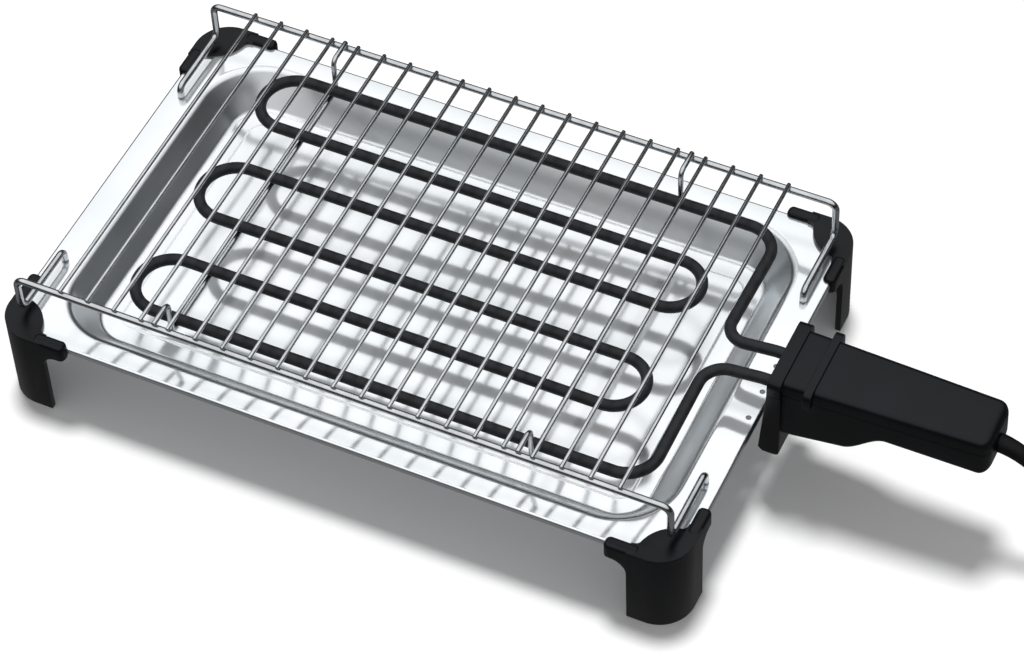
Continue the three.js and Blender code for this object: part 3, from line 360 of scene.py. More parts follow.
def phenolic():
    """Phenolic resin: moulded in a spark-eroded tool. The eye gets a deep black with a satin sheen that a
    fine grain breaks up. The resin's flow leaves clouds of 25 mm. The grain is about 0.1 mm: it is drawn
    0.35 mm wide, so that it shows. The sheen is set under that of plain resin, to match the object."""
    settings = {"IOR": 1.5, "Specular IOR Level": 0.22}
    material, tree, shader = bare_finish("black_phenolic_moulding", settings)
    tint(tree, shader, "#07090c", "#0b0d12", size_mm=25)
    dull(tree, shader, 0.3, 0.4, size_mm=0.35, detail=2.0)
    pit(tree, shader, size_mm=0.35, depth_mm=0.01, strength=0.5, detail=2.0)
    return material


def sheath_rubber():
    """Rubber: extruded round the leads. The eye gets a dusty black without highlights, and the dust lies
    in patches of 12 mm. The pores are about 0.1 mm: they are drawn 0.3 mm wide, so that they show."""
    settings = {"IOR": 1.5, "Specular IOR Level": 0.16}
    material, tree, shader = bare_finish("black_rubber_sheath", settings)
    tint(tree, shader, "#0a0b0c", "#101112", size_mm=12)
    dull(tree, shader, 0.45, 0.6, size_mm=0.3, detail=2.0)
    pit(tree, shader, size_mm=0.3, depth_mm=0.01, strength=0.6, detail=2.0)
    return material


def tumbled_metal(name, first, second, low, high):
    """A small metal piece out of the tumbling barrel, which leaves stains of about 4 mm and scratches in
    all directions. Scratches are about 0.05 mm wide: they are drawn 0.5 mm wide, so that they show."""
    material, tree, shader = bare_finish(name, {"Metallic": 1.0})
    tint(tree, shader, first, second, size_mm=4)
    dull(tree, shader, low, high, size_mm=0.5)
    return material


def brass():
    """Brass: stamped from rolled strip. The eye gets a warm yellow metal."""
    return tumbled_metal("brass_strip", "#b39a5c", "#c4ab6d", 0.22, 0.34)


def zinc_plate():
    """Zinc: plated on pressed and turned steel. The eye gets a cool, rather dull grey metal."""
    return tumbled_metal("zinc_plated_steel", "#a9acb0", "#bcbec1", 0.26, 0.4)


def nickel_plate():
    """Nickel: plated on turned brass. The eye gets a bright metal with a warm cast."""
    return tumbled_metal("nickel_plated_pin", "#c2c0b8", "#cfcdc6", 0.18, 0.3)


def insulation(name, first, second):
    """An even insulating material with slight clouds of 3 mm, half matt."""
    material, tree, shader = bare_finish(name, {"IOR": 1.5})
    tint(tree, shader, first, second, size_mm=3)
    dull(tree, shader, 0.45, 0.55, size_mm=3)
    return material


def steatite():
    """Steatite ceramic: pressed and fired without a glaze. The eye gets a warm, chalky white."""
    return insulation("steatite_ceramic", "#e2dccd", "#ebe6da")


def silicone(colour_name, first, second):
    """Silicone rubber: extruded round a lead and coloured through. The eye gets an even, soft colour."""
    return insulation(f"{colour_name}_silicone", first, second)


def studio_board():
    """Studio board: painted with a roller. The eye gets an even matt white, and the slightest clouds as
    wide as the roller's track, 300 mm."""
    settings = {"Roughness": 1.0, "Specular IOR Level": 0.0}
    material, tree, shader = bare_finish("white_studio_board", settings)
    tint(tree, shader, "#f6f6f6", "#f9f9f9", size_mm=300)
    return material


def unit(vectors):
    """Vectors divided by their lengths."""
    return vectors / np.linalg.norm(vectors, axis=-1, keepdims=True)


def row_points(points):
    """Points in millimetres from the tray's middle as metres from the middle of the whole part."""
    return (np.reshape(points, (-1, 3)) - (ORIGIN_X, 0.0, 0.0)) * MM


def surface(name, grid, closed=False):
    """An object over rings of points: a four-sided face between each two neighbours of a ring and the same
    two of the next ring, and a flat face over the first and over the last ring, or, where the rings are
    closed on themselves, faces from the last ring back to the first. Each ring runs anticlockwise as it
    is seen with the rings after it behind it."""
    rings, count = grid.shape[:2]
    index = np.arange(rings * count).reshape(rings, count)
    here, after = (index, np.roll(index, -1, axis=0)) if closed else (index[:-1], index[1:])
    sides = np.stack([here, after, np.roll(after, -1, axis=1), np.roll(here, -1, axis=1)], axis=-1)
    faces = sides.reshape(-1, 4).tolist()
    if not closed:
        faces += [index[0].tolist(), index[-1, ::-1].tolist()]
    mesh = bpy.data.meshes.new(name)
    mesh.from_pydata(row_points(grid).tolist(), [], faces)
    mesh.validate()
    mesh.update()
    made = bpy.data.objects.new(name, mesh)
    bpy.context.scene.collection.objects.link(made)
    return made


def raised(flat, heights):
    """Flat outlines in X and Y, or one for all, each set at its height."""
    heights = np.array(heights, float)
    flat = np.broadcast_to(flat, (len(heights), *np.shape(flat)[-2:]))
    levels = np.broadcast_to(heights[:, None, None], (*flat.shape[:2], 1))
    return np.concatenate([flat, levels], axis=-1)


def set_across(flat, places):
    """Flat outlines in Y and Z, or one for all, each set at its place along X."""
    return np.roll(raised(flat, places), 1, axis=-1)


def arc(centre, radius, start, end, steps):
    """Points on a circle from one angle to another: the centre plus the radius times cosine and sine."""
    angles = np.linspace(start, end, steps + 1)
    return np.column_stack([centre[0] + radius * np.cos(angles), centre[1] + radius * np.sin(angles)])


def rounded_rings(half_x, half_y, radius, steps):
    """Rounded rectangles, anticlockwise, one for each value where the sizes are arrays: four quarters of
    a circle, each moved out to its corner by the half sizes less the radius."""
    sizes = np.broadcast_arrays(*np.atleast_1d(half_x, half_y, radius))
    half_x, half_y, radius = (size[:, None, None] for size in sizes)
    turn = (np.arange(4)[:, None] + np.linspace(0, 1, steps + 1)) * math.pi / 2
    x = np.array([[1], [-1], [-1], [1]]) * (half_x - radius) + radius * np.cos(turn)
    y = np.array([[1], [1], [-1], [-1]]) * (half_y - radius) + radius * np.sin(turn)
    return np.stack([x, y], axis=-1).reshape(len(radius), -1, 2)


def bent_path(corners, bends):
    """Straight runs with an arc at each inner corner, as points and the direction at each. An arc starts
    its radius times the tangent of half its angle before the corner. From there it goes the radius times
    the sine of its turn ahead, and the radius times one minus the cosine aside."""
    corners = np.array(corners, float)
    runs = unit(np.diff(corners, axis=0))
    points, directions = [corners[:1]], [runs[:1]]
    for corner, ahead, out, bend in zip(corners[1:-1], runs, runs[1:], bends):
        angle = math.acos(np.clip(ahead @ out, -1, 1))
        aside = unit(out - ahead * math.cos(angle))
        turn = np.linspace(0, angle, max(2, math.ceil(angle / BEND_STEP)) + 1)[:, None]
        start = corner - ahead * bend * math.tan(angle / 2)
        points.append(start + bend * (ahead * np.sin(turn) + aside * (1 - np.cos(turn))))
        directions.append(ahead * np.cos(turn) + aside * np.sin(turn))
    points = np.concatenate([*points, corners[-1:]])
    directions = np.concatenate([*directions, runs[-1:]])
    apart = np.linalg.norm(np.diff(points, axis=0), axis=1) > SAME_PLACE
    kept = np.concatenate([[True], apart])
    return points[kept], directions[kept]


def rounded_ends(points, directions, radius, rim):
    """The path with three stations at each end, where the wire's end is rounded: at 0, 0.3 and 1 of the
    rim from the end, the radius is less by 1, 0.3 and 0 of the rim."""
    shares = np.array([0.0, 0.3, 1.0])
    head = points[0] + directions[0] * rim * shares[:, None]
    tail = points[-1] - directions[-1] * rim * shares[::-1, None]
    lead = np.repeat(directions[:1], 3, axis=0)
    trail = np.repeat(directions[-1:], 3, axis=0)
    radii = np.concatenate([
        radius - rim * shares[::-1], np.full(len(points) - 2, radius), radius - rim * shares,
    ])
    return np.concatenate([head, points[1:-1], tail]), np.concatenate([lead, directions[1:-1], trail]), radii


def sweep(points, directions, radii, sides):
    """A circle carried along a path: at each station its points are the radius times the cosine of their
    turn along one direction across the path, and the radius times the sine along the other. The first of
    these is that of the station before, less its part along the path, so that the tube has no twist. The
    rings run from the far end back, so that they face outwards."""
    directions = unit(directions)
    normal = UP if abs(directions[0] @ UP) < 0.9 else TO_HANDLE
    normals = []
    for direction in directions:
        normal = unit(normal - direction * (normal @ direction))
        normals.append(normal)
    across = np.cross(directions, normals)[:, None]
    turn = (np.arange(sides) / sides * 2 * math.pi)[:, None]
    circles = np.cos(turn) * np.array(normals)[:, None] + np.sin(turn) * across
    rings = points[:, None] + radii[:, None, None] * circles
    return rings[::-1]


def wire(name, corners, bends, diameter, sides, rim):
    """A round wire with rounded ends: a circle carried along straight runs and bends."""
    points, directions = bent_path(corners, bends)
    return surface(name, sweep(*rounded_ends(points, directions, diameter / 2, rim), sides))


def rod(name, start, end, diameter, sides=32):
    """A plain cylinder: a circle carried from one point to another."""
    ends = np.array([start, end], float)
    along = np.repeat([unit(ends[1] - ends[0])], 2, axis=0)
    return surface(name, sweep(ends, along, np.full(2, diameter / 2), sides))


def prism(name, outline, z0, z1):
    """A flat outline in X and Y, anticlockwise, raised from z0 to z1."""
    return surface(name, raised(outline, (z1, z0)))


def block(name, x, y, z):
    """A box: the rectangle between the given ends in X and Y, raised between those in Z."""
    return prism(name, [(x[0], y[0]), (x[1], y[0]), (x[1], y[1]), (x[0], y[1])], *z)


def settle(base):
    """Makes the object's modifiers part of its mesh."""
    bpy.context.view_layer.update()
    mesh = bpy.data.meshes.new_from_object(base.evaluated_get(bpy.context.evaluated_depsgraph_get()))
    base.modifiers.clear()
    base.data = mesh


def combine(base, steps, shared_faces=False):
    """base joined with, cut by or kept inside each tool, in turn. The tools are then removed. Solids that
    lie face on face need shared_faces: the solver then also sorts out where the base meets itself."""
    for operation, tool in steps:
        change = base.modifiers.new("change", "BOOLEAN")
        change.operation = operation
        change.object = tool
        change.solver = "EXACT"
        change.use_self = shared_faces
        settle(base)
        bpy.data.objects.remove(tool)


def soften(base, width, segments, angle):
    """Rounds the solid's edges that are sharper than the angle, by the width or as far as the shortest of
    its edges allows."""
    change = base.modifiers.new("soften", "BEVEL")
    change.width = width * MM
    change.segments = segments
    change.limit_method = "ANGLE"
    change.angle_limit = math.radians(angle)
    change.use_clamp_overlap = True
    settle(base)


def dress(made, material, body, *nodes, angle=35):
    """Smooth shading with sharp edges above the angle, the finish, the body that the piece moves with and
    the nodes that it stands for."""
    made.data.shade_smooth()
    made.data.set_sharp_from_angle(angle=math.radians(angle))
    made.data.materials.clear()
    made.data.materials.append(material)
    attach(made, body)
    if nodes:
        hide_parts(*nodes)
    return made


def sheet_bend(start, level, radius, first_lean, last_lean, steps):
    """One bend of the pressed sheet, in columns of distance out, height and lean. Out is the start plus
    the radius times the sine of the lean, and height is the level less the radius times one minus the
    cosine. The radius is negative where the bend is hollow."""
    lean = np.linspace(first_lean, last_lean, steps + 1)
    return np.column_stack([start + radius * np.sin(lean), level - radius * (1 - np.cos(lean)), lean])


def basin_section():
    """The tray's upper skin from the panel in its floor to the mouth of the basin: four bends that the
    sheet joins by straight slopes. Each slope is as long as its rise needs at its angle."""
    floor = TRAY_TOP - BASIN_DEPTH
    wall_rise = BASIN_DEPTH - (BASIN_FOOT + BASIN_LIP) * (1 - math.cos(BASIN_SLOPE))
    wall_run = (BASIN_FOOT + BASIN_LIP) * math.sin(BASIN_SLOPE) + wall_rise / math.tan(BASIN_SLOPE)
    panel_rise = PANEL_RISE - 2 * PANEL_BEND * (1 - math.cos(PANEL_SLOPE))
    panel_run = 2 * PANEL_BEND * math.sin(PANEL_SLOPE) + panel_rise / math.tan(PANEL_SLOPE)
    channel = -wall_run - CHANNEL_WIDTH
    return np.concatenate([
        sheet_bend(channel - panel_run, floor + PANEL_RISE, PANEL_BEND, 0.0, PANEL_SLOPE, steps=5),
        sheet_bend(channel, floor, -PANEL_BEND, PANEL_SLOPE, 0.0, steps=5),
        sheet_bend(-wall_run, floor, -BASIN_FOOT, 0.0, -BASIN_SLOPE, steps=8),
        sheet_bend(0.0, TRAY_TOP, BASIN_LIP, -BASIN_SLOPE, 0.0, steps=8),
    ])


def rim_section():
    """The tray's upper skin at its outline: a quarter bend down and the rim's straight edge."""
    upright = math.pi / 2
    bend = sheet_bend(-RIM_BEND, TRAY_TOP, RIM_BEND, 0.0, upright, steps=5)
    return np.vstack([bend, (0.0, TRAY_TOP - RIM_DROP, upright)])


def tray_skin(section, outline, corner, depth):
    """A section carried round a rounded rectangle, at a depth below the upper skin: each of its points is
    moved against its lean by the depth, and its distance out is added to the half sizes and the corner."""
    out, height, lean = section.T
    out = out - depth * np.sin(lean)
    flat = rounded_rings(outline[0] / 2 + out, outline[1] / 2 + out, corner + out, steps=18)
    return raised(flat, height - depth * np.cos(lean))


def make_tray(material):
    """The pressed tray as one sheet: its upper skin from the middle out, and its lower skin back in, with
    three holes in the flange next to the handle."""
    upper, lower = (
        np.concatenate([
            tray_skin(basin_section(), MOUTH, MOUTH_CORNER, depth),
            tray_skin(rim_section(), TRAY, TRAY_CORNER, depth),
        ])
        for depth in (0.0, SHEET)
    )
    made = surface("tray_sheet", np.concatenate([upper, lower[::-1]]))
    holes = []
    for step in (-1, 0, 1):
        spot = (FLANGE_HOLE_X, step * FLANGE_HOLE_PITCH)
        tool = rod("hole", (*spot, TRAY_TOP - OVERRUN), (*spot, TRAY_TOP + OVERRUN), FLANGE_HOLE, sides=20)
        holes.append(("DIFFERENCE", tool))
    combine(made, holes)
    dress(made, material, "base", "drip_tray", angle=40)


def foot_band(thickness):
    """The plan of a band along the foot's outer edge: straight, a quarter circle round the corner and
    straight again, then back at the thickness inside."""
    return np.vstack([
        (FOOT_OUT[0], FOOT_LEG_END[1]),
        arc(FOOT_CORNER_CENTRE, FOOT_CORNER, 0, math.pi / 2, steps=20),
        (FOOT_LEG_END[0], FOOT_OUT[1]),
        (FOOT_LEG_END[0], FOOT_OUT[1] - thickness),
        arc(FOOT_CORNER_CENTRE, FOOT_CORNER - thickness, math.pi / 2, 0, steps=20),
        (FOOT_OUT[0] - thickness, FOOT_LEG_END[1]),
    ])


def foot_plan():
    """The plan of the foot's plate: a round lobe over the tray's corner that meets both arms in fillets.
    A fillet touches the lobe where the line between their centres crosses it."""
    inner = (FOOT_OUT[0] - FOOT_ARM_WIDTH, FOOT_OUT[1] - FOOT_ARM_WIDTH)
    lobe = (FOOT_OUT[0] - FOOT_LOBE_INSET, FOOT_OUT[1] - FOOT_LOBE_INSET)
    aside = FOOT_ARM_WIDTH + FOOT_LOBE_FILLET - FOOT_LOBE_INSET
    along = math.sqrt((FOOT_LOBE + FOOT_LOBE_FILLET) ** 2 - aside ** 2)
    meet = math.atan2(aside, along)
    return np.vstack([
        (FOOT_LEG_END[0], inner[1]),
        arc((lobe[0] - along, lobe[1] - aside), FOOT_LOBE_FILLET, math.pi / 2, meet, steps=8),
        arc(lobe, FOOT_LOBE, math.pi + meet, 3 * math.pi / 2 - meet, steps=24)[1:-1],
        arc((lobe[0] - aside, lobe[1] - along), FOOT_LOBE_FILLET, math.pi / 2 - meet, 0, steps=8),
        (inner[0], FOOT_LEG_END[1]),
        (FOOT_OUT[0], FOOT_LEG_END[1]),
        arc(FOOT_CORNER_CENTRE, FOOT_CORNER, 0, math.pi / 2, steps=20),
        (FOOT_LEG_END[0], FOOT_OUT[1]),
    ])


def foot_arm(name, x, y):
    """An arm that clips over the flange: rounded rectangles whose sides stand in by the radius times one
    minus the sine of the turn, while they come down by the radius times one minus the cosine."""
    turn = np.linspace(0, math.pi / 2, 7)
    inset = np.append(FOOT_ARM_ROUND * (1 - np.sin(turn)), 0.0)
    height = np.append(TRAY_TOP + FOOT_ARM_TOP - FOOT_ARM_ROUND * (1 - np.cos(turn)), FOOT_SKIRT_Z)
    half = ((x[1] - x[0]) / 2 - inset, (y[1] - y[0]) / 2 - inset)
    flat = rounded_rings(*half, FOOT_ARM_END - inset, steps=6)
    return surface(name, raised(flat + ((x[0] + x[1]) / 2, (y[0] + y[1]) / 2), height))


def foot_fillet(along_x):
    """The hollow fillet between an arm's lower edge and the leg: a corner with a quarter circle cut out of
    it, carried through the thickness of the leg. It bites a little into both."""
    bite = FOOT_WALL / 4
    away, up = np.vstack([
        (-bite, bite), (-bite, -FOOT_FILLET), (0, -FOOT_FILLET),
        arc((FOOT_FILLET, -FOOT_FILLET), FOOT_FILLET, math.pi, math.pi / 2, steps=14)[1:],
        (FOOT_FILLET, bite),
    ]).T
    if along_x:
        sides = np.array([[0.0], [FOOT_WALL]])
        place = (FOOT_LEG_END[0] - away, FOOT_OUT[1] - sides, FOOT_SKIRT_Z + up)
    else:
        sides = np.array([[FOOT_WALL], [0.0]])
        place = (FOOT_OUT[0] - sides, FOOT_LEG_END[1] - away, FOOT_SKIRT_Z + up)
    return surface("fillet", np.stack(np.broadcast_arrays(*place), axis=-1))


def foot_mesh():
    """One moulded foot: band, plate, leg, arms and fillets in one, cut by the tray's flange and by the
    room under it, with its edges rounded."""
    out_x, out_y = FOOT_OUT
    plate_top = TRAY_TOP + FOOT_PLATE_TOP
    ledge_top = TRAY_TOP - RIM_DROP - SEAT_GAP
    root = FOOT_ARM_ROOT - FOOT_LEG_REACH
    made = prism("foot", foot_band(FOOT_ARM_WIDTH), FOOT_SKIRT_Z, plate_top)
    plate = prism("plate", foot_plan(), TRAY_TOP + SEAT_GAP, plate_top)
    leg = prism("leg", foot_band(FOOT_WALL), 0.0, TRAY_TOP)
    front = foot_arm("front_arm", (out_x - FOOT_ARM_LENGTH, out_x + root), (out_y - FOOT_ARM_WIDTH, out_y))
    side = foot_arm("side_arm", (out_x - FOOT_ARM_WIDTH, out_x), (out_y - FOOT_ARM_LENGTH, out_y + root))
    slot_half = (TRAY[0] / 2 + SEAT_GAP, TRAY[1] / 2 + SEAT_GAP)
    slot_outline = rounded_rings(*slot_half, TRAY_CORNER + SEAT_GAP, steps=20)
    slot = prism("slot", slot_outline, ledge_top, TRAY_TOP + SEAT_GAP)
    inner = (TRAY[0] / 2 - FOOT_COVER, TRAY[1] / 2 - FOOT_COVER)
    hollow = block("hollow", (0, inner[0]), (0, inner[1]), (-OVERRUN, ledge_top))
    combine(made, [
        ("UNION", plate), ("UNION", leg), ("UNION", front), ("UNION", side),
        ("UNION", foot_fillet(True)), ("UNION", foot_fillet(False)),
        ("DIFFERENCE", slot), ("DIFFERENCE", hollow),
    ], shared_faces=True)
    soften(made, FOOT_EDGE, segments=3, angle=45)
    mesh = made.data
    bpy.data.objects.remove(made)
    return mesh


def make_feet(material):
    """Four feet: one moulding mirrored about the tray's middle into each corner."""
    moulding = foot_mesh()
    corners = {"front_left": (-1, -1), "front_right": (1, -1), "rear_left": (-1, 1), "rear_right": (1, 1)}
    to_middle = Matrix.Translation((ORIGIN_X * MM, 0, 0))
    for place, (side_x, side_y) in corners.items():
        mesh = moulding.copy()
        mesh.transform(to_middle.inverted() @ Matrix.Diagonal((side_x, side_y, 1, 1)) @ to_middle)
        if side_x * side_y < 0:
            mesh.flip_normals()
        made = bpy.data.objects.new(f"moulded_foot_{place}", mesh)
        bpy.context.scene.collection.objects.link(made)
        dress(made, material, "base", f"foot_{place}")


def make_long_wires(material):
    """The two long wires: each end bends down, in towards the middle, and down again to its tip."""
    half_x, out_y = RACK_HALF
    tip_z = TRAY_TOP + SEAT_GAP
    bends = [TIP_BEND] + [LEG_BEND] * 4 + [TIP_BEND]
    for side, place in ((-1, "front"), (1, "rear")):
        leg = np.array([
            (0, side * LEG_FOOT_Y, tip_z), (0, side * LEG_FOOT_Y, LEG_RUN_Z),
            (0, side * out_y, LEG_RUN_Z), (0, side * out_y, LONG_WIRE_Z),
        ])
        corners = np.vstack([leg - TO_HANDLE * half_x, leg[::-1] + TO_HANDLE * half_x])
        made = wire(f"long_wire_{place}", corners, bends, LONG_WIRE, sides=24, rim=LONG_WIRE_RIM)
        dress(made, material, "rack", f"rack_wire_{place}")


def make_cross_wires(material):
    """The straight wires that lie on the long ones, one pitch apart to both sides of the middle."""
    for number in range(1, CROSS_COUNT + 1):
        x = (number - (CROSS_COUNT + 1) / 2) * CROSS_PITCH
        ends = [(x, -WIRE_REACH, CROSS_WIRE_Z), (x, WIRE_REACH, CROSS_WIRE_Z)]
        name = f"cross_wire_{number:02d}"
        made = wire(f"drawn_{name}", ends, [], CROSS_WIRE, sides=16, rim=CROSS_WIRE_RIM)
        dress(made, material, "rack", name)


def make_support_bars(material):
    """The two bars that carry the heater: each lies on the long wires and drops below them in between."""
    for side, place in ((-1, "left"), (1, "right")):
        x = side * BAR_PITCHES * CROSS_PITCH
        corners = [
            (x, -WIRE_REACH, BAR_TOP_Z), (x, -BAR_DROP_Y, BAR_TOP_Z), (x, -BAR_DROP_Y, BAR_LOW_Z),
            (x, BAR_DROP_Y, BAR_LOW_Z), (x, BAR_DROP_Y, BAR_TOP_Z), (x, WIRE_REACH, BAR_TOP_Z),
        ]
        bends = [BAR_BEND] * 4
        made = wire(f"bent_bar_{place}", corners, bends, SUPPORT_BAR, sides=20, rim=SUPPORT_BAR_RIM)
        dress(made, material, "rack", f"support_bar_{place}")


def make_heater(material):
    """The heater: from one terminal round six long runs to the other, one tube throughout. The bends
    between two runs are half circles, so their radius is half the distance between the runs."""
    rear = np.array([
        (TERMINAL_X, TERMINAL_Y, TERMINAL_Z), (INLET_X, TERMINAL_Y, TERMINAL_Z),
        (RUN_RIGHT_X, TERMINAL_Y, (HEATER_Z + TERMINAL_Z) / 2),
        (RUN_RIGHT_X, RUN_OUTER_Y, HEATER_Z), (RUN_LEFT_X, RUN_OUTER_Y, HEATER_Z),
        (RUN_LEFT_X, RUN_MIDDLE_Y, HEATER_Z), (RUN_TURN_X, RUN_MIDDLE_Y, HEATER_Z),
        (RUN_TURN_X, RUN_INNER_Y, HEATER_Z), (RUN_LEFT_X, RUN_INNER_Y, HEATER_Z),
    ])
    outer_turn = (RUN_OUTER_Y - RUN_MIDDLE_Y) / 2
    inner_turn = (RUN_MIDDLE_Y - RUN_INNER_Y) / 2
    bends = [
        TERMINAL_BEND, INLET_BEND, OUTER_BEND, outer_turn, outer_turn, inner_turn, inner_turn, RUN_INNER_Y,
    ]
    corners = np.vstack([rear * (1, -1, 1), rear[::-1]])
    made = wire("heater_tube", corners, bends + bends[::-1], TUBE, sides=28, rim=TUBE_RIM)
    dress(made, material, "element", "heating_element")


def underside(x):
    """Height of the handle's underside: the line from the collar to the finger guard passes into the line
    of the slim grip by the share squared times three less twice the share."""
    share = np.clip((x - GUARD_X) / (GRIP_X - GUARD_X), 0, 1)
    eased = share * share * (3 - 2 * share)
    front_share = np.clip((x - APRON_X[1]) / (GUARD_X - APRON_X[1]), 0, 1)
    grip_share = np.clip((x - GRIP_X) / (HANDLE_END - GRIP_X), 0, 1)
    front = FRONT_UNDER_Z + (GUARD_UNDER_Z - FRONT_UNDER_Z) * front_share
    grip = GRIP_UNDER_Z + (END_UNDER_Z - GRIP_UNDER_Z) * grip_share
    return front + (grip - front) * eased


def handle_half(x):
    """Half the handle's width at its top, which narrows evenly from the collar to the end."""
    share = np.clip((x - APRON_X[1]) / (HANDLE_END - APRON_X[1]), 0, 1)
    return HANDLE_HALF[0] + (HANDLE_HALF[1] - HANDLE_HALF[0]) * share


def handle_loft(name, start, end, inset):
    """The handle's body: rounded rectangles from its end to behind the collar, as wide as handle_half and
    as deep as underside say, less the inset. Downwards they flare evenly. At the end they shrink by the
    corner times one minus the cosine of a quarter turn, while they go out by the corner times the sine."""
    corner = HANDLE_END_CORNER - inset
    edge = max(HANDLE_EDGE - inset, LEAST_EDGE)
    turn = np.linspace(math.pi / 2, 0, 9)
    x = np.concatenate([
        end - corner + corner * np.sin(turn),
        np.linspace(end - corner, GRIP_X, 5)[1:],
        np.linspace(GRIP_X, GUARD_X, 17)[1:],
        np.linspace(GUARD_X, start, 4)[1:],
    ])
    pull = np.zeros(len(x))
    pull[:len(turn)] = 1 - np.cos(turn)
    top = HANDLE_TOP - inset - edge * pull
    bottom = underside(x) + inset + edge * pull
    half_height = ((top - bottom) / 2)[:, None]
    flat = rounded_rings(handle_half(x) - inset - corner * pull, (top - bottom) / 2, edge, steps=8)
    flare = HANDLE_FLARE * (half_height - flat[..., 1]) / (2 * half_height)
    flat[..., 0] += np.sign(flat[..., 0]) * flare
    flat[..., 1] += ((top + bottom) / 2)[:, None]
    return surface(name, set_across(flat, x))


def cross_plate(name, x, half, z0, z1, corner):
    """A plate across the handle, between two places along X: an outline with rounded upper corners."""
    outline = np.vstack([
        (-half, z0), (half, z0),
        arc((half - corner, z1 - corner), corner, 0, math.pi / 2, steps=10),
        arc((corner - half, z1 - corner), corner, math.pi / 2, math.pi, steps=10),
    ])
    return surface(name, set_across(outline, (x[1], x[0])))


def apron_plate():
    """The apron that hangs outside the tray's rim: an outline in X and Z with a round lower edge, whose
    face leans in towards the rim, carried from the front to the rear."""
    corner = COLLAR_CORNER / 2
    outline = np.vstack([
        (APRON_X[0] + corner, APRON_BOTTOM),
        arc((APRON_X[1] - corner, APRON_BOTTOM + corner), corner, -math.pi / 2, 0, steps=6),
        (APRON_X[1], SEAM_Z), (COLLAR_X[0], SEAM_Z), (APRON_X[0], APRON_BOTTOM + corner),
    ])
    return surface("apron", raised(outline, (-COLLAR_HALF, COLLAR_HALF))[..., [0, 2, 1]])


def handle_outside():
    """The outside of both shells as one form: body, collar, rib and apron, with its edges rounded."""
    made = handle_loft("outside", HANDLE_START, HANDLE_END, 0.0)
    combine(made, [
        ("UNION", cross_plate("collar", COLLAR_X, COLLAR_HALF, FRONT_UNDER_Z, COLLAR_TOP, COLLAR_CORNER)),
        ("UNION", cross_plate("rib", RIB_X, RIB_HALF, SEAM_Z, COLLAR_TOP, COLLAR_CORNER)),
        ("UNION", apron_plate()),
    ])
    soften(made, HANDLE_ROUND, segments=4, angle=50)
    return made


def lower_cuts(hollow_start):
    """What is cut from the lower shell alone: the bores for the tube's ends, the wells for the screws and
    the outlet for the cord."""
    cuts = []
    for side in (-1, 1):
        y = side * TERMINAL_Y
        ends = (APRON_X[0] - OVERRUN, y, TERMINAL_Z), (hollow_start + OVERRUN, y, TERMINAL_Z)
        cuts.append(rod("bore", *ends, TUBE_BORE))
    for x in SCREW_WELL_X:
        low = float(underside(x))
        cuts.append(rod("well", (x, 0, low - OVERRUN), (x, 0, low + SHELL_WALL), SCREW_WELL, sides=24))
    ends = (HANDLE_END - OUTLET_DEPTH, 0, CORD_EXIT_Z), (HANDLE_END + OVERRUN, 0, CORD_EXIT_Z)
    cuts.append(rod("outlet", *ends, OUTLET))
    return [("DIFFERENCE", tool) for tool in cuts]


def make_housing(material):
    """Both shells of the handle, cut from one outside form at the seam, and hollow inside."""
    outside = handle_outside()
    reach = ((APRON_X[0] - OVERRUN, HANDLE_END + OVERRUN), (-KEEP_HALF, KEEP_HALF))
    heights = {
        "lower": (APRON_BOTTOM - OVERRUN, SEAM_Z - SEAM_GAP),
        "upper": (SEAM_Z + SEAM_GAP, COLLAR_TOP + OVERRUN),
    }
    hollow_start = COLLAR_X[1] + SHELL_WALL
    for place, z in heights.items():
        made = outside.copy()
        made.data = outside.data.copy()
        bpy.context.scene.collection.objects.link(made)
        made.name = f"handle_{place}_shell"
        combine(made, [
            ("INTERSECT", block("keep", *reach, z)),
            ("DIFFERENCE", handle_loft("hollow", hollow_start, HANDLE_END - SHELL_WALL, SHELL_WALL)),
        ])
        if place == "lower":
            combine(made, lower_cuts(hollow_start))
        dress(made, material, "element", f"housing_{place}")
    bpy.data.objects.remove(outside)


def pitched(pitch):
    """Directions that lead away from the handle and point down by the pitch."""
    return np.column_stack([np.cos(pitch), np.zeros(len(pitch)), -np.sin(pitch)])


def relief_path():
    """The bend relief as points, directions and radii: flange, neck and shoulder straight on, then equal
    steps whose pitch and radius change evenly. Each step goes the way of the pitch at its middle."""
    inside = HANDLE_END - SHELL_WALL - RELIEF_PLAY - RELIEF_FLANGE_LENGTH
    wall = HANDLE_END + SEAT_GAP
    shares = np.arange(1, RELIEF_STEPS + 1) / RELIEF_STEPS
    first, last = RELIEF_PITCH
    middles = first + (last - first) * (shares - 0.5 / RELIEF_STEPS)
    head_x = np.array([inside, inside + RELIEF_FLANGE_LENGTH, inside + RELIEF_FLANGE_LENGTH, wall, wall])
    head = np.column_stack([head_x, np.zeros(len(head_x)), np.full(len(head_x), CORD_EXIT_Z)])
    bend = head[-1] + np.cumsum(RELIEF_LENGTH / RELIEF_STEPS * pitched(middles), axis=0)
    pitch = np.concatenate([np.zeros(len(head_x)), first + (last - first) * shares])
    diameters = np.concatenate([
        [RELIEF_FLANGE, RELIEF_FLANGE, RELIEF_NECK, RELIEF_NECK, RELIEF_SHOULDER],
        RELIEF_SHOULDER + (RELIEF_TIP - RELIEF_SHOULDER) * shares,
    ])
    return np.vstack([head, bend]), pitched(pitch), diameters / 2


